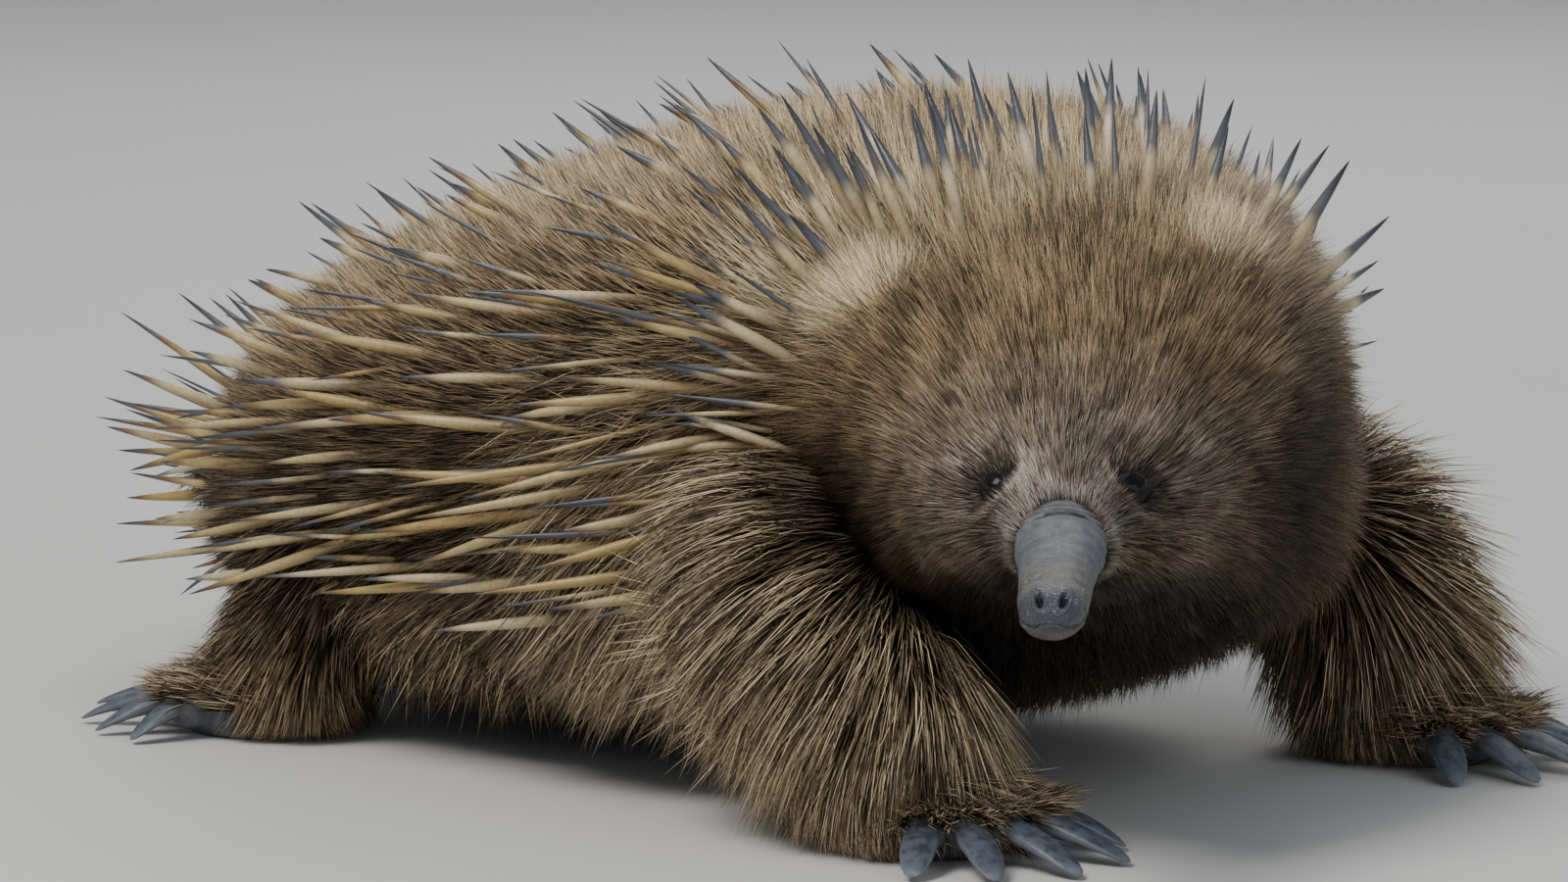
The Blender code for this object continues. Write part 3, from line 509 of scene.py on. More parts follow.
def field_share(field, place, turn):
    """1 amid a field of long hair on either side of the body, and 0 away from it."""
    (start, end), middle, spread = field
    turn = np.where(np.cos(np.radians(turn)) > 0, 180.0 - turn, turn) % 360.0
    along = smooth_step((place - start) / FIELD_EDGE) * smooth_step((end - place) / FIELD_EDGE)
    return along * bell(turn, middle, spread)


def long_share(place, turn):
    """1 amid any of the long hair, and 0 away from it."""
    return np.maximum(field_share(SHOULDER_FIELD, place, turn), field_share(SKIRT_FIELD, place, turn))


def belly_share(turn):
    """1 on the underside and 0 on the sides and the top."""
    return smooth_step((-np.sin(np.radians(turn)) - BELLY_START) / BELLY_SPREAD)


def side_of(turn):
    """1 on the left side and -1 on the right one."""
    return np.where(np.cos(np.radians(turn)) > 0, 1.0, -1.0)


def ear_distance(points):
    """The distance to the nearest ear's root."""
    ears = [skin_point(EAR_PLACE, turn) for turn in EAR_TURNS.values()]
    return np.min([np.linalg.norm(points - ear, axis=-1) for ear in ears], axis=0)


# The coat's markings and painted shade: how strong each pale and each dark one is, and where they are. The cheek,
# throat and eye darks are painted shade; the flank's is partly the coat's own darker hair and partly painted shade.
PALE = {"shoulder": 0.75, "back": 0.34, "collar": 0.95, "ear": 0.70}
DARK_AND_SHADE = {"flank": 0.90, "cheek": 0.92, "throat": 0.9, "eye": 0.80}
COLLAR, CHEEK = (0.240, 0.024), (0.298, 0.028)
EAR_PALE_REACH, EYE_DARK_REACH = 0.0085, 0.0078
GREY_SHARE, GREY_START, GREY_SPREAD = 0.85, 0.304, 0.046
MOTTLING = 0.022


def markings_and_shade(points, place, turn):
    """How pale, how grey and how dark the coat is, from 0 to 1, the dark part holding painted shade: the same for
    the skin and for every tuft.
    """
    upper = np.sin(np.radians(turn))
    mottling = 0.5 + 0.5 * ripples(points, MOTTLING, 3)
    pale = PALE["shoulder"] * field_share(SHOULDER_FIELD, place, turn) * (0.30 + 0.70 * mottling)
    back = smooth_step((upper - 0.60) / 0.4)
    pale = np.maximum(pale, PALE["back"] * back * smooth_step((0.24 - place) / 0.06))
    collar = bell(place, *COLLAR) * smooth_step((upper - 0.15) / 0.5)
    pale = np.maximum(pale, PALE["collar"] * collar * (0.50 + 0.50 * mottling))
    pale = np.maximum(pale, PALE["ear"] * bell(ear_distance(points), 0.0, EAR_PALE_REACH))
    grey = GREY_SHARE * smooth_step((place - GREY_START) / GREY_SPREAD)
    grey = grey * (0.55 + 0.45 * smooth_step((upper + 0.1) / 0.7))
    # Darker low on the sides of the body, less under the long hair: partly the flank's own darker hair, partly
    # painted shade.
    low = smooth_step((0.72 - upper) / 0.6) * smooth_step((0.225 - place) / 0.05)
    low = low * (1.0 - 0.75 * long_share(place, turn))
    # Painted shade on the cheeks and on the throat under the head, where the head shades them; the cheeks are kept
    # less grey as well.
    cheek = bell(place, *CHEEK) * smooth_step((0.55 - upper) / 0.5)
    throat = smooth_step((-0.25 - upper) / 0.5) * smooth_step((place - 0.24) / 0.05)
    dark = np.maximum(DARK_AND_SHADE["cheek"] * cheek, DARK_AND_SHADE["throat"] * throat)
    dark = np.maximum(DARK_AND_SHADE["flank"] * low * (0.62 + 0.38 * mottling), dark)
    # Painted shade in a ring of hair round each sunk eye.
    reach, _ = nearest_eye(points)
    dark = np.maximum(dark, DARK_AND_SHADE["eye"] * smooth_step((EYE_DARK_REACH - reach) / 0.0030))
    return pale, grey * (1.0 - 0.45 * cheek), dark


# The folds at the root of the beak: where each ridge and each groove is, its height or depth, and its width.
FOLD_RIDGES = (
    (0.3548, 0.00035, 0.0010), (0.3572, 0.00050, 0.0010), (0.3600, 0.00048, 0.0011), (0.3626, 0.00030, 0.0010)
)
FOLD_GROOVES = ((0.3559, 0.00045, 0.00042), (0.3586, 0.00065, 0.00045), (0.3613, 0.00055, 0.00042))
FOLD_BOW = 0.0022
NOSTRIL_HOLE, NOSTRIL_LEAN, NOSTRIL_DROP = (0.0021, 0.00100), 0.35, 0.0008


def fold_line(place, turn):
    """The place along the folds, which bow back down the sides."""
    return place + FOLD_BOW * (1.0 - np.cos(np.radians(turn - 90.0)))


def over_beak(turn):
    """1 on the top and the sides of the beak, and 0 under it."""
    return smooth_step((np.sin(np.radians(turn)) + 0.45) / 0.6)


def fold_depth(place, turn):
    """How deep the grooves between the folds are, over the top and the sides of the beak."""
    bowed = fold_line(place, turn)
    grooves = sum(depth * bell(bowed, middle, width) for middle, depth, width in FOLD_GROOVES)
    return grooves * over_beak(turn)


def fold_rise(place, turn):
    """The folds at the root of the beak: low ridges across its top with grooves between them."""
    bowed = fold_line(place, turn)
    ridges = sum(height * bell(bowed, middle, width) for middle, height, width in FOLD_RIDGES)
    return ridges * over_beak(turn) - fold_depth(place, turn)


def nostril_reach(points):
    """The distance to the nearest nostril, as a share of its size: it leans inwards."""
    heading = np.interp(NOSTRIL_PLACE, LINE_PLACES, LINE_HEADINGS)
    ahead = np.array((np.cos(heading), np.sin(heading), 0.0))
    beside = np.array((-np.sin(heading), np.cos(heading), 0.0))
    reach = []
    for swing in (-NOSTRIL_SWING, NOSTRIL_SWING):
        lean = NOSTRIL_LEAN * np.sign(swing)
        down = unit(0.45 * ahead + lean * beside - np.array((0.0, 0.0, 1.0)))
        apart = points - skin_point(NOSTRIL_PLACE, 90.0 + swing) - down * NOSTRIL_DROP
        across = apart @ unit(np.cross(down, ahead))
        reach.append(np.sqrt((apart @ down / NOSTRIL_HOLE[0]) ** 2 + (across / NOSTRIL_HOLE[1]) ** 2))
    return np.minimum(*reach)


def beak_middle(place):
    """The height halfway between the top and the underside."""
    return (skin_point(place, 90.0)[..., 2] + skin_point(place, 270.0)[..., 2]) / 2


# The beak's unevenness: height, wavelength and seed of each kind. Then the rims and holes of nostrils,
# and the lip.
BEAK_WAVES = ((0.00016, 0.0095, 11), (0.00004, 0.0026, 12))
NOSTRIL_RIM, NOSTRIL_DEPTH, LIP_HEIGHT = 0.00030, 0.0017, 0.00022


def beak_form(points, place, turn):
    """The beak's fine relief: folds, unevenness, two nostrils with rims, and the mouth."""
    on_beak = smooth_step((place - 0.350) / 0.004)
    rise = fold_rise(place, turn)
    for height, wavelength, seed in BEAK_WAVES:
        rise = rise + on_beak * height * ripples(points, wavelength, seed)
    apart = nostril_reach(points)
    rise += NOSTRIL_RIM * bell(apart, 1.35, 0.35) - NOSTRIL_DEPTH * (1.0 - smooth_step(apart / 1.05))
    middle = beak_middle(place)
    off = np.abs(points[..., 2] - middle - MOUTH_HEIGHT) / MOUTH_HALF_OPENING
    below = points[..., 2] < middle + MOUTH_HEIGHT
    along = smooth_step((place - MOUTH_START) / 0.003)
    lip = LIP_HEIGHT * bell(off, 1.6, 1.0) * below
    return rise + along * (lip - MOUTH_DEPTH * (1.0 - smooth_step(off / 1.3)))


TRUNK_SIDES = 160
TRUNK_STEPS = ((TAIL_TIP, 0.325, 122), (0.325, 0.352, 34), (0.352, BEAK_TIP, 170))
TIP_RINGS, TIP_REACH = 9, {"beak": 0.0013, "tail": 0.0030}


def trunk_rings():
    """Rings of points from the tail's tip to the beak's: section curves with the beak's relief on them."""
    places = np.unique(np.concatenate([np.linspace(*step) for step in TRUNK_STEPS]))[:, None]
    turns = np.arange(TRUNK_SIDES)[None, :] * 360.0 / TRUNK_SIDES
    points = skin_point(places, turns)
    rise = beak_form(points, *(np.broadcast_to(grid, points.shape[:2]) for grid in (places, turns)))
    rings = points + modelled_normal(places + 0 * turns, turns + 0 * places) * rise[..., None]
    tips = []
    ends = {"tail": (rings[0], LINE_HEADINGS[0] + math.pi), "beak": (rings[-1], LINE_HEADINGS[-1])}
    shares = np.sin(np.linspace(0, math.pi / 2, TIP_RINGS + 1)[1:-1])
    for end, (ring, heading) in ends.items():
        middle, ahead = ring.mean(axis=0), np.array((math.cos(heading), math.sin(heading), 0.0))
        reach = ahead * TIP_REACH[end]
        tips.append([middle + (ring - middle) * math.sqrt(1 - s * s) + reach * s for s in shares])
    return np.concatenate([np.array(tips[0])[::-1], rings, np.array(tips[1])])


def ball_rings(centre, radii, heading, rings=20, sides=32):
    """Level rings of a ball with three radii, turned to a heading and cut flat on the floor."""
    lift = np.linspace(-math.pi / 2, math.pi / 2, rings + 2)[1:-1, None]
    swing = circle(sides)[None, :]
    x, y = radii[0] * np.cos(lift) * np.cos(swing), radii[1] * np.cos(lift) * np.sin(swing)
    turned = math.radians(heading)
    flat = (x * math.cos(turned) - y * math.sin(turned), x * math.sin(turned) + y * math.cos(turned))
    points = np.stack([*flat, radii[2] * np.sin(lift) + 0 * swing], axis=-1) + centre
    points[..., 2] = np.maximum(points[..., 2], 0.0)
    return points


def toe_rings(leg, angle, rings=12, sides=14):
    """Oval rings along a toe, from inside the pad to a round end, a little swollen at its last joint."""
    forward = leg.forward(angle)
    across = np.cross(UP, forward)
    share = np.linspace(0, 1, rings)[:, None, None]
    swing = circle(sides)[None, :, None]
    full = np.sqrt(np.clip(1.0 - (np.clip(share - 0.86, 0, 1) / 0.145) ** 2, 0.02, 1.0))
    full = full * (1.05 - 0.12 * np.sin(share * math.pi * 2.2))
    middle = leg.foot + TOE_HEIGHT * UP + forward * TOE_REACH[leg.front] * share
    wide, high = TOE_HALF_WIDTH[leg.front] * full, TOE_HALF_HEIGHT * full
    points = middle + np.cos(swing) * wide * across + np.sin(swing) * high * UP
    points[..., 2] = np.maximum(points[..., 2], 0.0)
    return points


def leg_rings(leg, rings=36, sides=36):
    """Round rings down the bare leg."""
    share, angle = np.linspace(0, 1, rings)[:, None], np.arange(sides)[None, :] * 360.0 / sides
    middle, outward, _ = leg.frame(share + 0 * angle, angle + 0 * share)
    return middle + outward * leg.radius(share)[..., None]


def make_skin():
    """One closed skin: the trunk with its beak, joined with the legs, pads and toes, and its markings and painted
    shade.
    """
    skin = tube_mesh("skin", trunk_rings())
    limbs = bpy.data.collections.new("limbs")
    bpy.context.scene.collection.children.link(limbs)
    for name, leg in LEGS.items():
        pad = ball_rings(leg.foot + PAD_HEIGHT * UP, PAD_RADII[leg.front], leg.heading)
        parts = [leg_rings(leg), pad] + [toe_rings(leg, angle) for angle in TOE_ANGLES[leg.front]]
        for part in parts:
            made = tube_mesh(f"limb_{name}", part)
            bpy.context.scene.collection.objects.unlink(made)
            limbs.objects.link(made)
    union = skin.modifiers.new("limbs", "BOOLEAN")
    union.operation, union.solver = "UNION", "MANIFOLD"
    union.operand_type, union.collection = "COLLECTION", limbs
    apply_modifiers(skin)
    for made in list(limbs.objects):
        bpy.data.objects.remove(made)
    bpy.data.collections.remove(limbs)
    skin.data.polygons.foreach_set("use_smooth", np.ones(len(skin.data.polygons), bool))
    points = np.zeros(len(skin.data.vertices) * 3, np.float32)
    skin.data.vertices.foreach_get("co", points)
    points = points.reshape(-1, 3).astype(float)
    place, turn = trunk_place(points)
    pale, grey, dark = markings_and_shade(points, place, turn)
    eye_reach, _ = nearest_eye(points)
    low = smooth_step((0.012 - points[:, 2]) / 0.006)
    bare = np.maximum(smooth_step((place - coat_edge(turn)) / 0.003 + 1.0), low)
    # Painted shade on the skin round each sunk eye, where it shows between the lids and the fur.
    dark = np.maximum(dark, smooth_step((LID_BARE + 0.0035 - eye_reach) / 0.0015))
    # The grooves between the folds and the nostril holes, which the skin material darkens as painted shade.
    fold = np.clip(fold_depth(place, turn) / 0.00045, 0.0, 1.0) * (place > 0.35)
    fold = np.maximum(fold, (1.0 - smooth_step((nostril_reach(points) - 0.55) / 0.5)) * (place > 0.40))
    outer = smooth_step((place - 0.380) / 0.020) * (place > 0.36)
    tip = smooth_step((place - 0.4035) / 0.006)
    lip = smooth_step((beak_middle(place) + MOUTH_HEIGHT - points[:, 2]) / 0.0006)
    lip = lip * smooth_step((place - MOUTH_START) / 0.006)
    add_values(skin, pale=pale, grey=grey, dark=dark)
    add_values(skin, bare=bare, outer=outer, tip=tip, lip=lip, fold=fold)
    return skin


# How deep a tuft's root is sunk, its patch on the map, how it narrows, and its height as a share of its width.
TUFT_SUNK, TUFT_PATCH, TUFT_TAPER, TUFT_FLAT = 0.0005, 0.0030, (0.55, 1.5), 0.75
FLOOR_CLEARANCE = 0.0006


def tuft_mesh(name, roots, normals, starts, ends, lengths, widths, places, values, joints=2):
    """Closed three-sided tufts. Each follows root + length * (start * t + (end - start) * t^2 / 2).

    The tuft's direction turns from start to end, and its width shrinks to nothing at the tip. Values hold one
    number for each tuft, and places hold where its root is on the coat's own map.
    """
    count = len(roots)
    ring_shares = np.linspace(0, 1, joints + 1)
    shares = ring_shares[None, :, None]
    bend = (ends - starts)[:, None] * shares**2 / 2
    path = roots[:, None] + lengths[:, None, None] * (starts[:, None] * shares + bend)
    path[:, 0] -= normals * TUFT_SUNK
    path[..., 2] = np.maximum(path[..., 2], FLOOR_CLEARANCE)
    tangents = unit(starts[:, None] + (ends - starts)[:, None] * shares)
    across = unit(np.cross(tangents, normals[:, None]))
    raised = np.cross(across, tangents)
    swing = np.radians((90.0, 210.0, 330.0))[None, None, :, None]
    taper = 1.0 - TUFT_TAPER[0] * ring_shares[:-1] ** TUFT_TAPER[1]
    radii = (widths[:, None] / 2 * taper)[:, :, None, None]
    round_it = np.cos(swing) * across[:, :-1, None] + TUFT_FLAT * np.sin(swing) * raised[:, :-1, None]
    rings = path[:, :-1, None] + radii * round_it
    points = np.concatenate([rings.reshape(count, -1, 3), path[:, -1:]], axis=1)
    size = 3 * joints + 1
    first = (np.arange(count) * size)[:, None, None]
    sides = tube_faces(joints, 3)[None] + first
    last = 3 * (joints - 1)
    tips = [(last + corner, last + (corner + 1) % 3, size - 1) for corner in range(3)]
    fans = np.array([*tips, (2, 1, 0)])[None] + first
    made = new_mesh(name, points.reshape(-1, 3), [sides.reshape(-1, 4), fans.reshape(-1, 3)])
    along = np.concatenate([np.repeat(ring_shares[:-1], 3), [1.0]])
    add_values(made, along=np.tile(along, count))
    add_values(made, **{key: np.repeat(value, size) for key, value in values.items()})
    spread = np.concatenate([np.tile((-0.5, 0.0, 0.5), joints), [0.0]])
    patch = np.stack([spread, along - 0.5], axis=-1) * TUFT_PATCH
    add_map(made, "OFBake", (places[:, None] + patch[None]).reshape(-1, 2))
    return made


def scattered(weights, count, random):
    """Evenly scattered spots on a grid of cells: equal steps through the running sum of the cells' weights.

    Returns two arrays of positions, in cells. Each spot is at a random point of its cell.
    """
    total = np.cumsum(weights.reshape(-1))
    picks = (np.arange(count) + random.random(count)) / count * total[-1]
    cell = np.minimum(np.searchsorted(total, picks), weights.size - 1)
    row, column = np.divmod(cell, weights.shape[1])
    return row + random.random(count), column + random.random(count)


def coat_directions(place, turn, slant, rise):
    """Back along the body, slanted down the side, and raised off the skin, as arrays of directions."""
    side = side_of(turn)
    back = unit(skin_point(place - 0.001, turn) - skin_point(place + 0.001, turn))
    down = unit(skin_point(place, turn - side) - skin_point(place, turn + side))
    slant, rise = np.radians(slant)[:, None], np.radians(rise)[:, None]
    flat = unit(back * np.cos(slant) + down * np.sin(slant))
    return flat * np.cos(rise) + modelled_normal(place, turn) * np.sin(rise)


def round_the_eyes(roots, directions):
    """The same directions, turned away from an eye where they stand close to it."""
    reach, away = nearest_eye(roots)
    share = smooth_step((EYE_FREE - reach) / (EYE_FREE - LID_BARE))[:, None]
    return unit(directions + share * away)


def grown(start, end, turns, density, random):
    """Spots on the trunk between two places and two turns, by a density that is a function of both.

    They keep off the legs, the lids, the ears and the bare beak.
    """
    rows, columns = COAT_CELLS
    span, sweep = end - start, turns[1] - turns[0]
    place = (np.arange(rows)[:, None] + 0.5) / rows * span + start + np.zeros((1, columns))
    turn = (np.arange(columns)[None, :] + 0.5) * sweep / columns + turns[0] + np.zeros((rows, 1))
    step, swing = span / rows, sweep / columns
    along = skin_point(place + step / 2, turn) - skin_point(place - step / 2, turn)
    around = skin_point(place, turn + swing / 2) - skin_point(place, turn - swing / 2)
    weights = np.linalg.norm(np.cross(along, around), axis=-1) * 1e6 * density(place, turn)
    row, column = scattered(weights, int(weights.sum()), random)
    place, turn = start + row * step, turns[0] + column * swing
    roots = skin_point(place, turn)
    reach, _ = nearest_eye(roots)
    kept = (place < coat_edge(turn)) & (reach > LID_BARE)
    kept &= (ear_distance(roots) > EAR_BARE) & ~inside_leg(roots, 0.002)
    return place[kept], turn[kept], roots[kept], reach[kept]


def on_map(patch):
    """Spots of a unit square, moved in from its edge so that a tuft's own patch fits."""
    return patch * MAP_SHARE + MAP_EDGE


def coat_stretch(name, settings, random):
    """The plush of one stretch of the trunk: short tufts that lean a little every way."""
    start, end = COAT_STRETCHES[name]

    def density(place, turn):
        below = 1.0 - (1.0 - BELLY_SHARE) * belly_share(turn)
        thinned = below * (1.0 - UNDER_LOCKS * long_share(place, turn))
        return coat_row(place, 5) * settings.density * thinned

    place, turn, roots, reach = grown(start, end, (0.0, 360.0), density, random)
    count = len(place)
    upper = np.clip(np.sin(np.radians(turn)), 0.0, 1.0)
    length = coat_row(place, 2) + (coat_row(place, 1) - coat_row(place, 2)) * upper
    length = length * (1.0 + 0.10 * ripples(roots, 0.0065, 21) + 0.12 * random.normal(size=count))
    edge = smooth_step((reach - LID_BARE) / (EYE_FREE - LID_BARE))
    length *= (0.35 + 0.65 * edge) * (1.0 - 0.30 * belly_share(turn)) * settings.length
    soft, plush = smooth_step((0.33 - place) / 0.08), smooth_step((0.235 - place) / 0.05)
    combed = smooth_step((place - 0.20) / 0.03) * smooth_step((0.32 - place) / 0.04)
    slant = 24.0 * np.abs(np.cos(np.radians(turn))) * (1.0 - smooth_step((place - 0.25) / 0.08) * 0.4)
    sway = 10.0 * ripples(roots, 0.020, 22) + 26.0 * plush * ripples(roots, 0.0065, 27)
    slant = slant + side_of(turn) * sway
    slant = slant + (6.0 + 12.0 * soft) * random.normal(size=count)
    lift = 7.0 * ripples(roots, 0.010, 24) + 9.0 * plush * ripples(roots, 0.0060, 28)
    lift = lift + (3.0 + 3.0 * soft + 4.0 * plush) * random.normal(size=count)
    hanging = 0.35 * long_share(place, turn)
    lower = 1.0 - (0.10 + 0.26 * combed) * (1.0 - upper)
    rise = np.stack([coat_row(place, 3), coat_row(place, 4)]) * (1.0 - hanging) * lower + lift
    rise = np.clip(rise, *RISE_RANGE)
    starts = round_the_eyes(roots, coat_directions(place, turn, slant, rise[0]))
    ends = round_the_eyes(roots, coat_directions(place, turn, slant, rise[1]))
    pale, grey, dark = markings_and_shade(roots, place, turn)
    silver = 0.50 * smooth_step((place - 0.347) / 0.005) * (random.random(count) < 0.45)
    tone = np.clip(coat_tone(roots, random) + silver, 0.0, 1.0)
    values = {"tone": tone, "pale": pale, "grey": grey, "dark": dark}
    widths = coat_row(place, 6) * settings.width * random.uniform(*WIDTH_RANGE, count)
    patch = on_map(np.stack([turn / 360.0, (place - start) / (end - start)], axis=-1))
    normals = modelled_normal(place, turn)
    return tuft_mesh(name, roots, normals, starts, ends, length, widths, patch, values, joints=1)


def coat_locks(name, settings, random):
    """The long hair of one side: it lies down and back over the shoulder and hangs along the flank."""
    (start, end), turns = LOCK_PLACES, LOCK_TURNS[name]

    def density(place, turn):
        return LOCK_DENSITY * settings.density * smooth_step(long_share(place, turn) / LOCK_FULL)

    place, turn, roots, _ = grown(start, end, turns, density, random)
    count = len(place)
    shoulder, skirt = field_share(SHOULDER_FIELD, place, turn), field_share(SKIRT_FIELD, place, turn)
    length = LOCK_LENGTH * (0.62 + 0.38 * np.maximum(shoulder, skirt)) * settings.length
    length = length * (1.0 + 0.12 * ripples(roots, 0.0065, 25) + 0.12 * random.normal(size=count))
    slant = 24.0 + 28.0 * shoulder + 26.0 * skirt + 12.0 * ripples(roots, 0.020, 22)
    slant = slant + 9.0 * ripples(roots, 0.007, 23) + 6.0 * random.normal(size=count)
    lift = 5.0 * ripples(roots, 0.009, 26) + 5.0 * random.normal(size=count)
    starts = coat_directions(place, turn, slant, LOCK_RISE[0] + lift)
    ends = coat_directions(place, turn, slant + 8.0 * random.normal(size=count), LOCK_RISE[1] + 0.6 * lift)
    pale, grey, dark = markings_and_shade(roots, place, turn)
    pale = np.clip(np.maximum(pale, 0.35 * skirt) * 0.7 + 0.30 * random.normal(size=count), 0.0, 1.0)
    tone, light = coat_tone(roots, random), random.random(count) < LIGHT_STRANDS
    tone = np.where(light, 0.65 + 0.35 * random.random(count), 0.88 * tone)
    values = {"tone": tone, "pale": np.where(light, 0.90, 0.85 * pale), "grey": grey, "dark": 0.6 * dark}
    widths = LOCK_WIDTH * settings.width * random.uniform(*WIDTH_RANGE, count)
    patch = np.stack([(turn - turns[0]) / (turns[1] - turns[0]), (place - start) / (end - start)], axis=-1)
    normals = modelled_normal(place, turn)
    return tuft_mesh(name, roots, normals, starts, ends, length, widths, on_map(patch), values)


# Patches of lighter and darker tufts: how strong, how large and the seed of each kind.
TONE_PATCHES = ((0.10, 0.030, 31), (0.12, 0.011, 32), (0.15, 0.0042, 33))
TONE_MIDDLE, TONE_SPREAD = 0.47, 0.27


def coat_tone(roots, random):
    """How light each tuft is, from 0 to 1: patches of a few sizes and a random part."""
    count = len(roots)
    patches = sum(amount * ripples(roots, size, seed) for amount, size, seed in TONE_PATCHES)
    return np.clip(TONE_MIDDLE + patches + TONE_SPREAD * random.normal(size=count), 0.0, 1.0)


# The hair of each leg, by share of its path: length, rise of the root and of the tip, tufts to the square
# millimetre, and a tuft's width.
LEG_COAT = {
    True: np.array([
        (0.00, 0.0210, 22.0, 8.0, 1.10, 0.00040),
        (0.35, 0.0290, 23.0, 5.0, 1.28, 0.00039),
        (0.65, 0.0310, 28.0, 4.0, 1.50, 0.00038),
        (0.90, 0.0235, 36.0, 2.0, 1.75, 0.00036),
        (1.00, 0.0170, 36.0, 4.0, 1.70, 0.00038),
    ]),
    False: np.array([
        (0.00, 0.0200, 30.0, 12.0, 1.00, 0.00046),
        (0.35, 0.0200, 32.0, 10.0, 1.10, 0.00045),
        (0.65, 0.0185, 34.0, 8.0, 1.30, 0.00042),
        (0.90, 0.0150, 34.0, 6.0, 1.50, 0.00040),
        (1.00, 0.0120, 30.0, 8.0, 1.50, 0.00038),
    ]),
}
LEG_CELLS, LEG_EDGE, LEG_BLEND, LIGHT_STRANDS = (80, 90), 0.30, 0.95, 0.20
# Which way the hair of a front and of a hind leg falls, and how strongly every strand bends down.
FALL_WAY, STRAND_DROP = {True: np.array((-0.95, 0.0, -0.35)), False: np.array((-0.25, 0.0, -0.55))}, 0.35
FAN_OFFSET, FAN_FALL = np.array((0.026, 0.020, 0.008)), 0.40
FOOT_HAIR, FOOT_DENSITY, FOOT_WIDTH, ON_TOES = (0.0140, 0.0090), 3.2, 0.00036, 0.35
# How much of a leg piece's map its leg takes, and where its foot starts and how wide that is.
LEG_MAP, FOOT_MAP = 0.62, (0.66, 0.32)


def along_surface(directions, normals):
    """The same directions, laid flat on the surface."""
    return unit(directions - normals * (directions * normals).sum(axis=-1, keepdims=True))


def leg_hair(leg, settings, random):
    """Where the tufts of one leg grow and how they lie: down the leg and fanned out, bent back to it."""
    rows, columns = LEG_CELLS
    share = (np.arange(rows)[:, None] + 0.5) / rows + np.zeros((1, columns))
    table = LEG_COAT[leg.front]

    def leg_row(share, column):
        return np.interp(share, table[:, 0], table[:, column])

    length = np.linalg.norm(np.diff(leg.path, axis=0), axis=-1).sum()
    area = length / rows * 2 * math.pi * leg.radius(share) / columns
    weights = area * 1e6 * leg_row(share, 4) * settings.density
    row, column = scattered(weights, int(weights.sum()), random)
    share, angle = row / rows, column * 360.0 / columns
    middle, outward, down = leg.frame(share, angle)
    roots = middle + outward * leg.radius(share)[:, None]
    kept = (trunk_measure(roots, 0.001) > 1.0) & (roots[:, 2] > 0.006)
    share, angle, roots, outward, down = share[kept], angle[kept], roots[kept], outward[kept], down[kept]
    count = len(share)
    out = trunk_measure(roots) - 1.0
    near, free = smooth_step(out / LEG_EDGE), smooth_step(out / LEG_BLEND)
    place, turn = trunk_place(roots)
    fall_way = unit(down + FALL_WAY[leg.front])
    if leg.front:
        crease = leg.at(leg.path, 0.35) + FAN_OFFSET * np.array((1.0, -np.sign(leg.foot[1]), 1.0))
        over_foot = 0.8 * smooth_step((share - 0.70) / 0.25)[:, None] * leg.forward(0.0)
        hang = unit(unit(roots - crease) + FAN_FALL * fall_way + over_foot)
    else:
        trunk_lie = coat_directions(place, turn, np.full(count, 42.0), np.zeros(count))
        hang = unit(fall_way * free[:, None] + trunk_lie * (1.0 - free[:, None]))
    hang = along_surface(hang, outward)
    across = np.cross(outward, hang)
    drift = 0.16 * ripples(roots, 0.010, 41) + 0.12 * random.normal(size=count)
    strand = unit(hang + across * drift[:, None])
    lift = 6.0 * ripples(roots, 0.008, 42) + 5.0 * random.normal(size=count)
    tilt = 0.35 + 0.65 * near
    rise, fall = (np.radians((leg_row(share, column) + lift) * tilt)[:, None] for column in (2, 3))
    starts = strand * np.cos(rise) + outward * np.sin(rise)
    ends = unit(strand * np.cos(fall) + outward * np.sin(fall) - STRAND_DROP * UP)
    lengths = leg_row(share, 1) * (0.55 + 0.45 * near) * settings.length
    lengths *= 1.0 + 0.15 * ripples(roots, 0.006, 43) + 0.12 * random.normal(size=count)
    widths = leg_row(share, 5) * settings.width * random.uniform(*WIDTH_RANGE, count)
    # The inner side of a leg, facing the trunk, gets painted shade: less pale and darker. Hind legs are darker all
    # round.
    outer = smooth_step(0.5 + 0.8 * outward[:, 1] * np.sign(leg.foot[1]))
    mottling = 0.5 + 0.5 * ripples(roots, 0.018, 44)
    trunk_pale, grey, trunk_dark = markings_and_shade(roots, place, turn)
    pale = (0.10 + 0.45 * mottling + 0.40 * random.normal(size=count)) * (0.5 + 0.5 * outer)
    pale = np.clip(pale, 0.0, 1.0) * (1.0 if leg.front else 0.5)
    dark = np.clip(0.3 * (1.0 - outer) + (0.0 if leg.front else 0.3), 0.0, 1.0)
    tone, light = coat_tone(roots, random), random.random(count) < LIGHT_STRANDS
    tone = np.where(light, 0.70 + 0.30 * random.random(count), 0.80 * tone)
    pale = np.where(light, 0.95 if leg.front else 0.6, 0.75 * pale)
    values = {
        "tone": tone,
        "pale": pale * near + trunk_pale * (1.0 - near),
        "grey": grey * (1.0 - near),
        "dark": dark * near + trunk_dark * (1.0 - near),
    }
    places = np.stack([angle / 360.0 * LEG_MAP, share], axis=-1)
    return roots, outward, starts, ends, lengths, widths, places, values


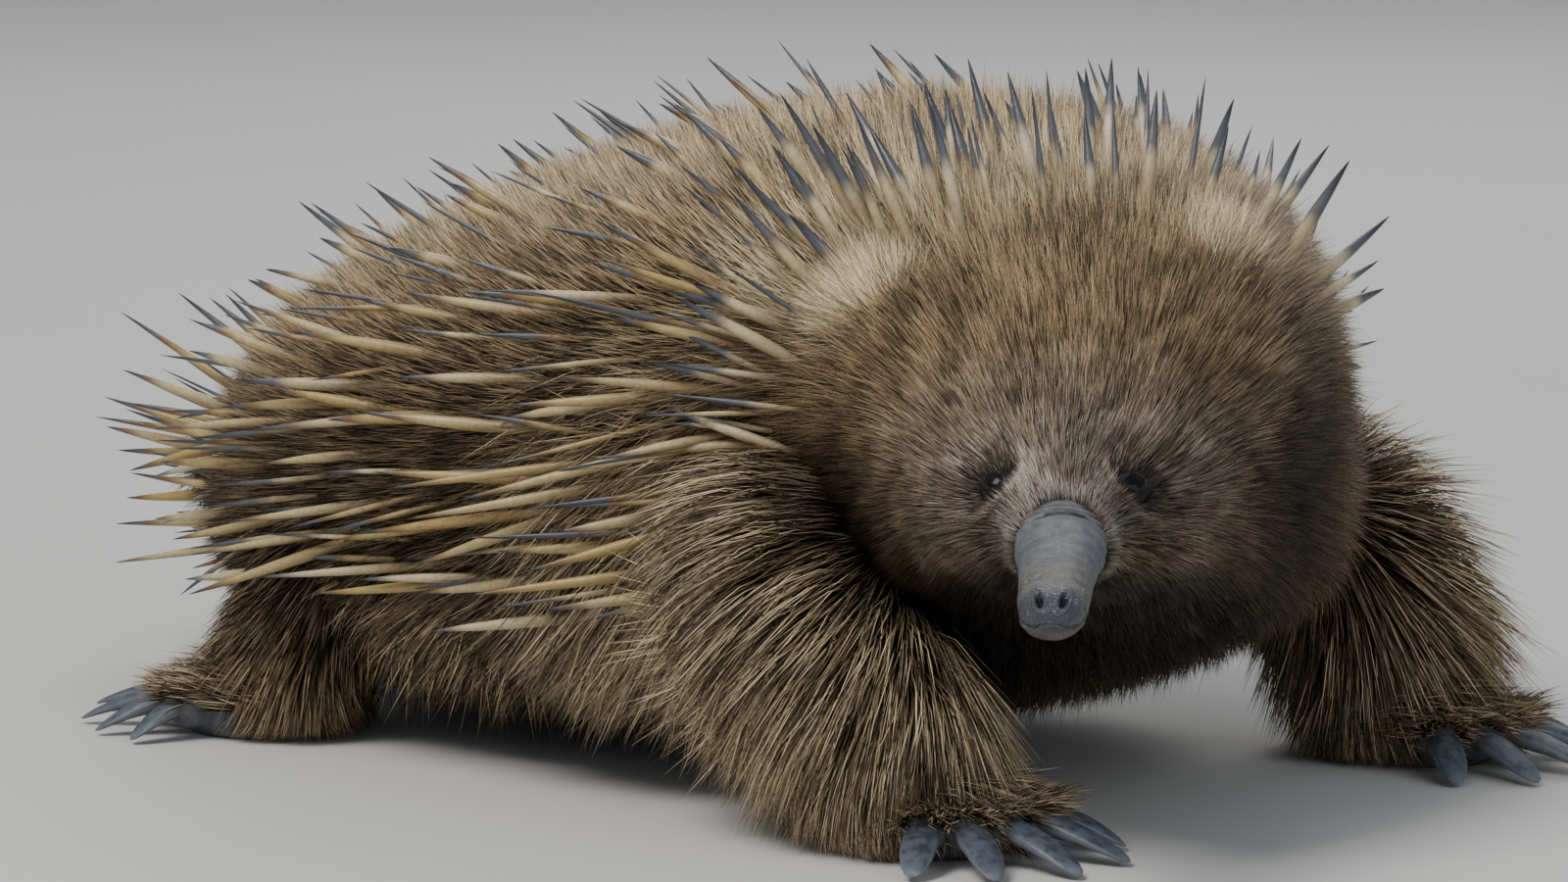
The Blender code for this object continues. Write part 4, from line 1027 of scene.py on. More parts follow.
def foot_hair(leg, settings, random):
    """The short hair on top of a foot, which lies forward over the roots of the toes."""
    radii = np.array(PAD_RADII[leg.front])
    count = int(FOOT_DENSITY * settings.density * 1e6 * 2.2 * radii[0] * radii[1])
    swing = random.uniform(0, 2 * math.pi, count)
    lift = np.arcsin(random.uniform(0.05, 1.0, count))
    forward = leg.forward(0.0)
    ball = np.stack([np.cos(lift) * np.cos(swing), np.cos(lift) * np.sin(swing), np.sin(lift)], axis=-1)
    axes = np.stack([forward, np.cross(UP, forward), UP])
    roots = leg.foot + PAD_HEIGHT * UP + (ball * radii) @ axes
    normals = unit((ball / radii) @ axes)
    on_toes = random.random(count) < ON_TOES
    toe = leg.forward(random.choice(TOE_ANGLES[leg.front], count))
    reach = random.uniform(0.45, 0.92, count)[:, None] * TOE_REACH[leg.front]
    around = random.uniform(0.35, math.pi - 0.35, count)[:, None]
    toe_across = np.cross(UP, toe)
    toe_normals = np.cos(around) * toe_across + np.sin(around) * UP
    wide = np.cos(around) * TOE_HALF_WIDTH[leg.front] * toe_across
    high = np.sin(around) * TOE_HALF_HEIGHT * UP
    toe_roots = leg.foot + TOE_HEIGHT * UP + toe * reach + wide + high
    roots = np.where(on_toes[:, None], toe_roots, roots)
    normals = np.where(on_toes[:, None], toe_normals, normals)
    ahead = np.where(on_toes[:, None], toe, unit(roots - leg.foot + forward * 0.02))
    ahead = unit(along_surface(ahead, normals) + 0.16 * random.normal(size=(count, 3)))
    starts, ends = unit(ahead + 0.55 * normals), unit(ahead + 0.10 * normals)
    lengths = np.where(on_toes, FOOT_HAIR[1], FOOT_HAIR[0]) * settings.length
    lengths = lengths * random.uniform(0.7, 1.2, count)
    widths = FOOT_WIDTH * settings.width * random.uniform(0.8, 1.2, count)
    values = {
        "tone": coat_tone(roots, random),
        "pale": np.clip(0.15 + 0.35 * random.normal(size=count), 0.0, 1.0),
        "grey": np.full(count, 0.10),
        "dark": np.full(count, 0.30),
    }
    places = np.stack([FOOT_MAP[0] + swing / (2 * math.pi) * FOOT_MAP[1], lift / math.pi * 2], axis=-1)
    return roots, normals, starts, ends, lengths, widths, places, values


def make_leg_coat(name, leg, settings, random):
    """The tufts of one leg and its foot in one piece."""
    on_leg, on_foot = leg_hair(leg, settings, random), foot_hair(leg, settings, random)
    joined = [np.concatenate([one, other]) for one, other in zip(on_leg[:-1], on_foot[:-1])]
    values = {key: np.concatenate([on_leg[-1][key], on_foot[-1][key]]) for key in on_leg[-1]}
    joined[-1] = on_map(joined[-1])
    return tuft_mesh(name, *joined, values)


# The pale tuft round each ear: how many hairs, how long and how wide, and how far they reach along and round.
EAR_TUFTS, EAR_HAIR, EAR_HAIR_WIDTH, EAR_TUFT_REACH = 2700, 0.0165, 0.00034, (0.0080, 14.0)


def make_ear_tufts(settings, random):
    """The pale tuft of hair that stands out of and round each ear."""
    parts = []
    count = EAR_TUFTS
    for turn in EAR_TURNS.values():
        angle, reach = random.uniform(0, 2 * math.pi, count), random.uniform(0.20, 1.0, count)
        place = EAR_PLACE + EAR_TUFT_REACH[0] * reach * np.cos(angle)
        swing = turn + EAR_TUFT_REACH[1] * reach * np.sin(angle)
        normals = modelled_normal(place, swing)
        roots = skin_point(place, swing) + normals * 0.001
        slant = 30.0 * np.sin(angle) + 8.0 * random.normal(size=count)
        fan = coat_directions(place, swing, slant, 56.0 - 16.0 * reach)
        starts = unit(fan + 0.34 * random.normal(size=(count, 3)))
        ends = unit(starts + 0.35 * coat_directions(place, swing, 0.0 * swing, 10.0 + 0.0 * swing))
        lengths = EAR_HAIR * (1.15 - 0.30 * reach) * random.uniform(0.60, 1.15, count) * settings.length
        widths = EAR_HAIR_WIDTH * settings.width * random.uniform(0.8, 1.2, count)
        values = {
            "tone": random.uniform(0.10, 0.95, count),
            "pale": np.clip(1.05 - 0.45 * reach + 0.18 * random.normal(size=count), 0.0, 1.0),
            "grey": np.zeros(count),
            "dark": np.zeros(count),
        }
        places = np.stack([swing / 360.0, 0.5 + (place - EAR_PLACE) * 30.0], axis=-1)
        parts.append((roots, normals, starts, ends, lengths, widths, places, values))
    joined = [np.concatenate(columns) for columns in list(zip(*parts))[:-1]]
    values = {key: np.concatenate([part[-1][key] for part in parts]) for key in parts[0][-1]}
    return tuft_mesh("ear_tufts", *joined, values, joints=1)


# The spines of each stretch: where they stand and how far apart. Rises, lengths, dark shares of the tip, shares
# of thin ones and shares that are kept are low on the side and at the top. Crest is the rise at the top of the
# last row, and cream is how pale they are, from and to.
SPINES = {
    "torso": {
        "places": (0.020, 0.226), "turns": (-18.0, 198.0), "spacing": 0.0104, "rise": (14.0, 45.0),
        "crest": 40.0, "lengths": (0.038, 0.0240), "dark": (0.13, 0.42), "thin": (0.30, 0.70),
        "kept": (1.0, 0.46), "cream": (0.0, 0.75),
    },
    "neck": {
        "places": (0.2330, 0.2610), "turns": (4.0, 176.0), "spacing": 0.0086, "cream": (0.5, 1.0),
        "rise": (18.0, 28.0), "crest": 52.0, "lengths": (0.029, 0.026), "dark": (0.35, 0.55),
        "thin": (0.35, 0.35), "kept": (1.0, 1.0),
    },
    "tail": {
        "places": (-0.038, 0.010), "turns": (-40.0, 220.0), "spacing": 0.0082, "cream": (0.0, 0.5),
        "rise": (32.0, 42.0), "crest": 36.0, "lengths": (0.039, 0.042), "dark": (0.22, 0.34),
        "thin": (0.30, 0.30), "kept": (1.0, 1.0),
    },
}
SPINE_RADIUS, SPINE_SIDES, SPINE_SWAY = 0.00150, 8, 0.022
# How far a spine strays along and round the body, and the shares of length and width of thin ones.
SPINE_STRAY, THIN_LENGTH, THIN_WIDTH = (0.0026, 2.2), 0.92, 0.52
SPINE_RINGS = np.array((-0.36, 0.0, 0.18, 0.42, 0.64, 0.80, 0.91, 0.975))
SPINE_WIDTHS = np.array((0.84, 0.95, 1.00, 0.87, 0.64, 0.42, 0.22, 0.08))


def spine_places(field, random):
    """Roots in rows half a step apart, evenly spread along each section's outline and then moved a little."""
    first, last = field["places"]
    rows = 1 + round((last - first) / field["spacing"])
    found = []
    for row, place in enumerate(np.linspace(first, last, rows)):
        turns = np.linspace(*field["turns"], 160)
        steps = np.linalg.norm(np.diff(skin_point(place, turns), axis=0), axis=-1)
        along = np.concatenate([[0.0], np.cumsum(steps)])
        count = max(2, int(along[-1] / field["spacing"]))
        spots = (np.arange(count) + 0.5 * (row % 2) + 0.5) * along[-1] / (count + 0.5)
        found.append(np.stack([np.full(count, place), np.interp(spots, along, turns)], axis=-1))
    found = np.concatenate(found)
    for column, stray in enumerate(SPINE_STRAY):
        found[:, column] += stray * random.normal(size=len(found))
    return np.clip(found[:, 0], first, last), found[:, 1]


def make_spines(name, field, settings, random):
    """Straight spines of round section: thick, medium and thin ones, with a belly and a long sharp tip."""
    place, turn = spine_places(field, random)
    kept = random.random(len(place)) < np.interp(np.sin(np.radians(turn)), (0, 1), field["kept"])
    place, turn = place[kept], turn[kept]
    count = len(place)
    first, last = field["places"]
    upper = np.clip(np.sin(np.radians(turn)), 0.0, 1.0)
    low, high = field["rise"]
    high = high + (field["crest"] - high) * (place - first) / (last - first)
    rise = low + (high - low) * upper**0.65 + 4.0 * random.normal(size=count)
    slant = 3.0 * (1.0 - upper) + 7.0 * random.normal(size=count)
    direction = coat_directions(place, turn, slant, rise)
    depth = np.interp(place, COAT_PLACES, COAT_DEPTHS)
    roots = skin_point(place, turn) + modelled_normal(place, turn) * depth[:, None]
    thin = random.random(count) < np.interp(upper, (0, 1), field["thin"])
    length = np.interp(upper, (0, 1), field["lengths"]) * random.uniform(0.58, 1.14, count)
    length *= np.where(thin, THIN_LENGTH, 1.0) * settings.length
    radius = SPINE_RADIUS * settings.width * random.uniform(0.72, 1.10, count)
    radius = radius * np.where(thin, THIN_WIDTH, 1.0)
    sway = unit(random.normal(size=(count, 3)))[:, None] * SPINE_SWAY * (SPINE_RINGS**2)[None, :, None]
    path = roots[:, None] + length[:, None, None] * (direction[:, None] * SPINE_RINGS[None, :, None] + sway)
    tips = roots + length[:, None] * (direction + sway[:, -1])
    across = unit(np.cross(direction, np.array((0.1, 0.2, 1.0))))
    raised = np.cross(across, direction)
    swing = circle(SPINE_SIDES)[None, None, :, None]
    wide = (radius[:, None] * SPINE_WIDTHS)[:, :, None, None]
    round_it = np.cos(swing) * across[:, None, None] + np.sin(swing) * raised[:, None, None]
    rings = path[:, :, None] + wide * round_it
    size = len(SPINE_RINGS) * SPINE_SIDES + 1
    points = np.concatenate([rings.reshape(count, -1, 3), tips[:, None]], axis=1)
    points[..., 2] = np.maximum(points[..., 2], FLOOR_CLEARANCE)
    starts = (np.arange(count) * size)[:, None, None]
    around = np.arange(SPINE_SIDES)
    beside = (around + 1) % SPINE_SIDES
    last_ring = size - 1 - SPINE_SIDES
    fans = np.stack([last_ring + around, last_ring + beside, np.full(SPINE_SIDES, size - 1)], axis=-1)
    sides = tube_faces(len(SPINE_RINGS), SPINE_SIDES)[None] + starts
    caps = around[::-1][None, None] + starts
    groups = [sides.reshape(-1, 4), (fans[None] + starts).reshape(-1, 3), caps.reshape(-1, SPINE_SIDES)]
    made = new_mesh(name, points.reshape(-1, 3), groups)
    along = np.append(np.repeat(SPINE_RINGS, SPINE_SIDES), 1.0)
    dark = np.interp(upper, (0, 1), field["dark"]) * random.uniform(0.6, 1.35, count)
    dark = np.where(thin, random.uniform(0.35, 0.85, count), dark)
    add_values(
        made,
        along=np.tile(np.clip(along, 0.0, 1.0), count),
        tone=np.repeat(random.uniform(*field["cream"], count), size),
        darkness=np.repeat(np.clip(dark, 0.0, 1.0), size),
    )
    return made


EYE_RINGS, EYE_SIDES = 24, 40
LID_OPENING, LID_REACH, LID_EDGE, LID_WOBBLE = (0.0023, 0.0018), 0.0046, 0.00045, 0.00042
LID_SIDES, LID_RINGS, LID_TUCK, LID_DEPTH = 72, 34, 0.0010, 0.0012
# The wrinkles of a lid: how far apart, how high, and how far they waver.
WRINKLE_STEP, WRINKLE_HEIGHT, WRINKLE_WAVER = 0.00085, 0.00022, 0.00060


def make_eye(side, centre, normal):
    """A ball whose poles look along the eye's own direction, with the angle from that direction stored."""
    lift = np.linspace(0, math.pi, EYE_RINGS + 2)[1:-1, None]
    swing = circle(EYE_SIDES)[None, :]
    across = unit(np.cross(normal, UP))
    raised = np.cross(across, normal)
    flat = np.cos(swing)[..., None] * across + np.sin(swing)[..., None] * raised
    rings = centre + EYE_RADIUS * (np.cos(lift)[..., None] * normal + np.sin(lift)[..., None] * flat)
    made = tube_mesh(f"eye_globe_{side}", rings)
    add_values(made, off_centre=np.concatenate([np.repeat(lift[:, 0], EYE_SIDES), [0.0, math.pi]]))
    return made


def make_lids(side, turn):
    """A wrinkled ring of skin: it rises over the edge of the eye and runs out onto the skin round it.

    A point is at an angle round the eye and a distance from its middle. Its height over the skin is the eye's
    own height at the opening, falls off with the distance, and carries ripples that run round the eye.
    """
    angle = circle(LID_SIDES)[None, :]
    share = np.linspace(0, 1, LID_RINGS)[:, None]
    opening = np.hypot(LID_OPENING[0] * np.cos(angle), LID_OPENING[1] * np.sin(angle))
    inner = opening - 0.0007 * (1.0 - smooth_step(share / 0.10))
    reach = inner + (LID_REACH - opening) * np.clip(share - 0.06, 0.0, 1.0) ** 1.25
    along = np.linalg.norm(skin_point(EYE_PLACE + 0.001, turn) - skin_point(EYE_PLACE - 0.001, turn)) / 0.002
    around = np.linalg.norm(skin_point(EYE_PLACE, turn + 1.0) - skin_point(EYE_PLACE, turn - 1.0)) / 2.0
    place = EYE_PLACE + reach * np.cos(angle) / along
    swing = turn + reach * np.sin(angle) / around
    eye_height = np.sqrt(np.maximum(EYE_RADIUS**2 - opening**2, 0.0)) - EYE_SINK
    fall = smooth_step((reach - opening) / (LID_REACH - opening))
    height = (eye_height + LID_EDGE) * (1.0 - fall) - 0.0006 * smooth_step((share - 0.85) / 0.15)
    tucked = eye_height - LID_TUCK + (LID_EDGE + LID_TUCK) * smooth_step(share / 0.10)
    height = np.where(share < 0.10, tucked, height)
    points = skin_point(place, swing)
    wrinkles = np.sin(2 * math.pi * (reach + WRINKLE_WAVER * ripples(points, 0.0026, 51)) / WRINKLE_STEP)
    wrinkles = wrinkles * (0.5 + 0.5 * ripples(points, 0.0034, 53))
    ring = smooth_step((share - 0.12) / 0.12) * smooth_step((1.0 - share) / 0.2)
    height = height + ring * (WRINKLE_HEIGHT * wrinkles + LID_WOBBLE * ripples(points, 0.0016, 52))
    normals = modelled_normal(place, swing)
    sheet = (points + normals * height[..., None]).reshape(-1, 3)
    under = (points - normals * LID_DEPTH).reshape(-1, 3)
    size = LID_RINGS * LID_SIDES
    beside = (np.arange(LID_SIDES) + 1) % LID_SIDES
    outer, here = (LID_RINGS - 1) * LID_SIDES, np.arange(LID_SIDES)
    top, bottom = tube_faces(LID_RINGS, LID_SIDES), tube_faces(LID_RINGS, LID_SIDES, first=size)[:, ::-1]
    rim = outer + np.stack([here, beside, size + beside, size + here], axis=-1)
    hole = np.stack([beside, here, size + here, size + beside], axis=-1)
    return new_mesh(f"lids_{side}", np.concatenate([sheet, under]), [top, bottom, rim, hole])


EAR_LIFT, EAR_RINGS, EAR_SIDES = 0.0024, 40, 48
# The ear's cup from outside to inside: reach and height, as shares of its radii.
EAR_PROFILE = np.array([
    (0.10, -0.80),
    (0.45, -0.72),
    (0.78, -0.35),
    (0.95, 0.15),
    (1.00, 0.55),
    (0.95, 0.66),
    (0.87, 0.52),
    (0.76, 0.10),
    (0.55, -0.22),
    (0.28, -0.36),
    (0.06, -0.40),
])


def make_ear(side, turn):
    """The cup of one ear: a profile of reach and height carried round an oval, with an uneven rim."""
    normal = modelled_normal(EAR_PLACE, turn)
    centre = skin_point(EAR_PLACE, turn) + normal * EAR_LIFT
    along = unit(skin_point(EAR_PLACE + 0.001, turn) - skin_point(EAR_PLACE - 0.001, turn))
    up = np.cross(normal, along)
    angle = circle(EAR_SIDES)[None, :, None]
    profile = curve_through(EAR_PROFILE, EAR_RINGS)
    reach, height = profile[:, 0][:, None, None], profile[:, 1][:, None, None]
    wide, tall, deep = EAR_RADII
    level = centre + reach * (wide * np.cos(angle) * along + tall * np.sin(angle) * up)
    rings = level + height * deep * normal
    rise = 0.0005 * ripples(rings, 0.005, 61) * smooth_step((reach[..., 0] - 0.5) / 0.4)
    return tube_mesh(f"ear_cup_{side}", rings + rise[..., None] * normal)


CLAW_SIDES, CLAW_RINGS, CLAW_BEND, CLAW_HOLLOW = 18, 22, 1.7, 0.75
CLAW_SHARES = (0.0, 0.30, 0.62, 0.84, 0.95, 1.0)
CLAW_WIDTHS, CLAW_HEIGHTS = (0.84, 0.94, 0.86, 0.66, 0.42, 0.10), (0.74, 0.62, 0.42, 0.26, 0.16, 0.05)


def claw_rings(leg, angle, length):
    """Rings along one claw: it leaves the toe level and bends down, with a hollow underside."""
    forward = leg.forward(angle)
    across = np.cross(UP, forward)
    share = np.linspace(0, 1, CLAW_RINGS)
    root = leg.foot + TOE_HEIGHT * UP + forward * (TOE_REACH[leg.front] - CLAW_ROOT_INSIDE)
    middle = root + forward * (length + CLAW_ROOT_INSIDE) * share[:, None]
    middle[:, 2] = TOE_HEIGHT + (CLAW_TIP_HEIGHT - TOE_HEIGHT) * share**CLAW_BEND
    wide = TOE_HALF_WIDTH[leg.front] * np.interp(share, CLAW_SHARES, CLAW_WIDTHS)
    high = TOE_HALF_HEIGHT * np.interp(share, CLAW_SHARES, CLAW_HEIGHTS)
    side, rise = np.cos(circle(CLAW_SIDES))[None, :], np.sin(circle(CLAW_SIDES))[None, :]
    hollow = np.where(rise < 0, 1.0 - CLAW_HOLLOW * np.cos(side * math.pi / 2) ** 2, 1.0)
    lift = high[:, None] * rise * hollow
    points = middle[:, None] + (wide[:, None] * side)[..., None] * across
    points[..., 2] = np.maximum(points[..., 2] + lift, FLOOR_CLEARANCE / 3)
    return points


def make_claws(name, leg):
    """The five claws of a foot in one piece, with the way along and across each of them stored."""
    points, faces, along = [], [], []
    size = CLAW_RINGS * CLAW_SIDES
    for number, (angle, length) in enumerate(zip(TOE_ANGLES[leg.front], CLAW_LENGTHS[leg.front])):
        points.append(claw_rings(leg, angle, length).reshape(-1, 3))
        faces.append(tube_faces(CLAW_RINGS, CLAW_SIDES, first=number * size))
        along.append(np.repeat(np.linspace(0, 1, CLAW_RINGS), CLAW_SIDES))
    around = np.arange(CLAW_SIDES)
    firsts = (np.arange(len(points)) * size)[:, None]
    caps = np.concatenate([around[::-1][None] + firsts, around[None] + firsts + size - CLAW_SIDES])
    made = new_mesh(f"claw_set_{name}", np.concatenate(points), [np.concatenate(faces), caps])
    across = np.tile(np.cos(circle(CLAW_SIDES)), CLAW_RINGS * len(points))
    add_values(made, along=np.concatenate(along), across=across)
    return made


class Nodes:
    """A short way to add shader nodes to one tree and to link them."""

    def __init__(self, tree):
        self.tree = tree

    def add(self, kind, **settings):
        node = self.tree.nodes.new(kind)
        for name, value in settings.items():
            setattr(node, name, value)
        return node

    def feed(self, socket, value):
        """Links a socket to an input, or sets a plain value on it."""
        if isinstance(value, bpy.types.NodeSocket):
            self.tree.links.new(value, socket)
        else:
            socket.default_value = value

    def attribute(self, name):
        return self.add("ShaderNodeAttribute", attribute_name=name).outputs["Fac"]

    def position(self):
        return self.add("ShaderNodeTexCoord").outputs["Object"]

    def mix(self, factor, one, other):
        node = self.add("ShaderNodeMix", data_type="RGBA")
        self.feed(node.inputs[0], factor)
        self.feed(node.inputs[6], one)
        self.feed(node.inputs[7], other)
        return node.outputs[2]

    def math(self, operation, one, other=0.0):
        node = self.add("ShaderNodeMath", operation=operation)
        self.feed(node.inputs[0], one)
        self.feed(node.inputs[1], other)
        return node.outputs[0]

    def times(self, one, other):
        return self.math("MULTIPLY", one, other)

    def spread(self, value, low, high, start=0.0, end=1.0):
        """The value's way from low to high, as a way from start to end, held at both."""
        node = self.add("ShaderNodeMapRange", interpolation_type="SMOOTHSTEP")
        for socket, given in zip(node.inputs, (value, low, high, start, end)):
            self.feed(socket, given)
        return node.outputs[0]

    def noise(self, scale, detail=3.0, position=None):
        node = self.add("ShaderNodeTexNoise")
        self.feed(node.inputs["Vector"], position or self.position())
        node.inputs["Scale"].default_value = scale
        node.inputs["Detail"].default_value = detail
        return node.outputs["Fac"]

    def scaled(self, colour, factor):
        node = self.add("ShaderNodeVectorMath", operation="SCALE")
        self.feed(node.inputs[0], colour)
        self.feed(node.inputs["Scale"], factor)
        return node.outputs[0]

    def bump(self, height, distance, strength=1.0):
        node = self.add("ShaderNodeBump")
        self.feed(node.inputs["Height"], height)
        node.inputs["Distance"].default_value = distance
        node.inputs["Strength"].default_value = strength
        return node.outputs["Normal"]


def node_group(name, inputs, outputs):
    """A shader group with named sockets, a way to add nodes to it, and its input and output sockets."""
    group = bpy.data.node_groups.new(name, "ShaderNodeTree")
    for title, kind in inputs.items():
        group.interface.new_socket(title, in_out="INPUT", socket_type=kind)
    for title, kind in outputs.items():
        group.interface.new_socket(title, in_out="OUTPUT", socket_type=kind)
    nodes = Nodes(group)
    return group, nodes, nodes.add("NodeGroupInput").outputs, nodes.add("NodeGroupOutput").inputs


COLOUR, NUMBER = "NodeSocketColor", "NodeSocketFloat"


def hair_colour_group():
    """The coat's colour from its markings, its painted shade and the way along a hair, in three blends."""
    name = "hair_colour"
    if name in bpy.data.node_groups:
        return bpy.data.node_groups[name]
    inputs = {title: NUMBER for title in ("Along", "Tone", "Pale", "Grey", "Dark")}
    inputs.update({title: COLOUR for title in ("Root", "Middle", "Tip", "Pale Root", "Pale Tip")})
    inputs.update({"Grey Root": COLOUR, "Grey Tip": COLOUR, "Silver": COLOUR})
    group, nodes, given, put = node_group(name, inputs, {"Color": COLOUR})
    lower = nodes.spread(given["Along"], 0.12, 0.66)
    upper = nodes.spread(given["Along"], 0.42, 1.0)
    lightness = nodes.times(upper, nodes.spread(given["Tone"], 0.15, 0.85, 0.25, 1.0))
    brown = nodes.mix(lightness, nodes.mix(lower, given["Root"], given["Middle"]), given["Tip"])
    pale = nodes.mix(nodes.spread(given["Along"], 0.10, 0.85), given["Pale Root"], given["Pale Tip"])
    ends = nodes.mix(nodes.spread(given["Tone"], 0.72, 0.92), given["Grey Tip"], given["Silver"])
    grey = nodes.mix(nodes.spread(given["Along"], 0.10, 0.85), given["Grey Root"], ends)
    marked = nodes.mix(given["Pale"], brown, pale)
    marked = nodes.mix(given["Grey"], marked, grey)
    # Dark darkens the colour: painted shade, and on the flanks partly the coat's own darker hair.
    darkness = nodes.spread(given["Dark"], 0.0, 1.0, 1.0, 0.30)
    brightness = nodes.times(darkness, nodes.spread(given["Tone"], 0.1, 0.9, 0.24, 2.02))
    nodes.feed(put["Color"], nodes.scaled(marked, brightness))
    return group


def hair_colour(nodes, settings, along, tone):
    """The coat's colour in a material, with the colours of the settings."""
    node = nodes.add("ShaderNodeGroup", node_tree=hair_colour_group())
    nodes.feed(node.inputs["Along"], along)
    nodes.feed(node.inputs["Tone"], tone)
    for title in ("Pale", "Grey", "Dark"):
        nodes.feed(node.inputs[title], nodes.attribute(title.lower()))
    for title in ("Root", "Middle", "Tip", "Pale Root", "Pale Tip", "Grey Root", "Grey Tip", "Silver"):
        node.inputs[title].default_value = (*getattr(settings, title.lower().replace(" ", "_")), 1.0)
    return node.outputs["Color"]


def hide_group():
    """Bare skin: cloudy colour, fine pebbles and wrinkles. It gives a colour, a roughness and a height."""
    name = "hide"
    if name in bpy.data.node_groups:
        return bpy.data.node_groups[name]
    inputs = {"Color": COLOUR, "Dark": COLOUR, "Clouds": NUMBER}
    outputs = {"Color": COLOUR, "Roughness": NUMBER, "Height": NUMBER}
    group, nodes, given, put = node_group(name, inputs, outputs)
    clouds = nodes.spread(nodes.noise(260.0, 5.0), 0.36, 0.66)
    pebbles = nodes.add("ShaderNodeTexVoronoi", feature="DISTANCE_TO_EDGE")
    nodes.feed(pebbles.inputs["Vector"], nodes.position())
    pebbles.inputs["Scale"].default_value = 2100.0
    edges = nodes.spread(pebbles.outputs["Distance"], 0.0, 0.16)
    fine = nodes.noise(3600.0, 2.0)
    shade = nodes.times(clouds, given["Clouds"])
    mixed = nodes.mix(shade, given["Color"], given["Dark"])
    seams = nodes.mix(nodes.times(nodes.math("SUBTRACT", 1.0, edges), 0.60), mixed, given["Dark"])
    nodes.feed(put["Color"], seams)
    nodes.feed(put["Roughness"], nodes.spread(nodes.noise(700.0, 3.0), 0.3, 0.7, 0.34, 0.56))
    raised = nodes.times(edges, 0.6)
    nodes.feed(put["Height"], nodes.math("ADD", raised, nodes.times(fine, 0.5)))
    return group


def hide(nodes, colour, dark, clouds):
    """Bare skin in a material: its colour, roughness and height."""
    node = nodes.add("ShaderNodeGroup", node_tree=hide_group())
    nodes.feed(node.inputs["Color"], colour)
    nodes.feed(node.inputs["Dark"], dark)
    node.inputs["Clouds"].default_value = clouds
    return node.outputs


def skin_material(skin, coat):
    """Brown under the coat, darkened by the coat's painted shade, and blue-grey hide on the beak with sand on its
    outer half, a wet dark tip and painted shade in the grooves and nostrils.
    """
    made, nodes, shader = material("skin", specular=0.55)
    tone = nodes.spread(nodes.noise(190.0, 4.0), 0.3, 0.7, 0.1, 0.9)
    covered = hair_colour(nodes, coat, 0.22, tone)
    beak = hide(nodes, (*skin.beak_colour, 1.0), (*skin.beak_dark, 1.0), 0.6)
    outer, tip, lip = nodes.attribute("outer"), nodes.attribute("tip"), nodes.attribute("lip")
    grains = nodes.spread(nodes.noise(2000.0, 3.0), 0.47, 0.58)
    specks = nodes.times(grains, nodes.spread(nodes.noise(380.0, 3.0), 0.40, 0.56))
    dry = nodes.times(outer, nodes.math("SUBTRACT", 1.0, nodes.times(tip, 0.85)))
    worn = nodes.mix(nodes.times(dry, 0.62), beak["Color"], (*skin.beak_dark, 1.0))
    colour = nodes.mix(nodes.times(specks, dry), worn, (*skin.sand_colour, 1.0))
    colour = nodes.mix(nodes.times(tip, 0.88), colour, (*skin.tip_colour, 1.0))
    colour = nodes.mix(nodes.times(lip, 0.60), colour, (*skin.lip_colour, 1.0))
    # Painted shade: the grooves between the folds and the nostril holes are darkened almost to black.
    grooves = nodes.times(nodes.attribute("fold"), 0.92)
    colour = nodes.mix(grooves, colour, (*skin.groove_shade, 1.0))
    bare = nodes.attribute("bare")
    nodes.feed(shader["Base Color"], nodes.mix(bare, covered, colour))
    wet = nodes.math("SUBTRACT", beak["Roughness"], nodes.times(tip, 0.30))
    dull = nodes.math("ADD", wet, nodes.times(specks, nodes.times(dry, 0.3)))
    hairy = nodes.times(nodes.math("SUBTRACT", 1.0, bare), 0.35)
    nodes.feed(shader["Roughness"], nodes.math("ADD", dull, hairy))
    under = nodes.times(nodes.math("SUBTRACT", 1.0, bare), nodes.noise(520.0, 4.0))
    relief = nodes.times(beak["Height"], bare)
    height = nodes.math("ADD", relief, nodes.times(under, 6.0))
    height = nodes.math("ADD", height, nodes.times(specks, nodes.times(dry, 0.9)))
    nodes.feed(shader["Normal"], nodes.bump(height, 0.00016, 0.8))
    return made


def hide_material(name, colour, dark, clouds):
    """Plain bare skin, for the lids and the ears."""
    made, nodes, shader = material(name, specular=0.30)
    out = hide(nodes, (*colour, 1.0), (*dark, 1.0), clouds)
    nodes.feed(shader["Base Color"], out["Color"])
    nodes.feed(shader["Roughness"], out["Roughness"])
    nodes.feed(shader["Normal"], nodes.bump(out["Height"], 0.00020, 0.9))
    return made


def coat_material(name, coat):
    """Hair: its colour by the markings, the painted shade and the way along it, with a low soft shine."""
    made, nodes, shader = material(name, specular=0.30)
    along = nodes.attribute("along")
    nodes.feed(shader["Base Color"], hair_colour(nodes, coat, along, nodes.attribute("tone")))
    nodes.feed(shader["Roughness"], nodes.spread(nodes.attribute("tone"), 0.0, 1.0, 0.62, 0.46))
    return made


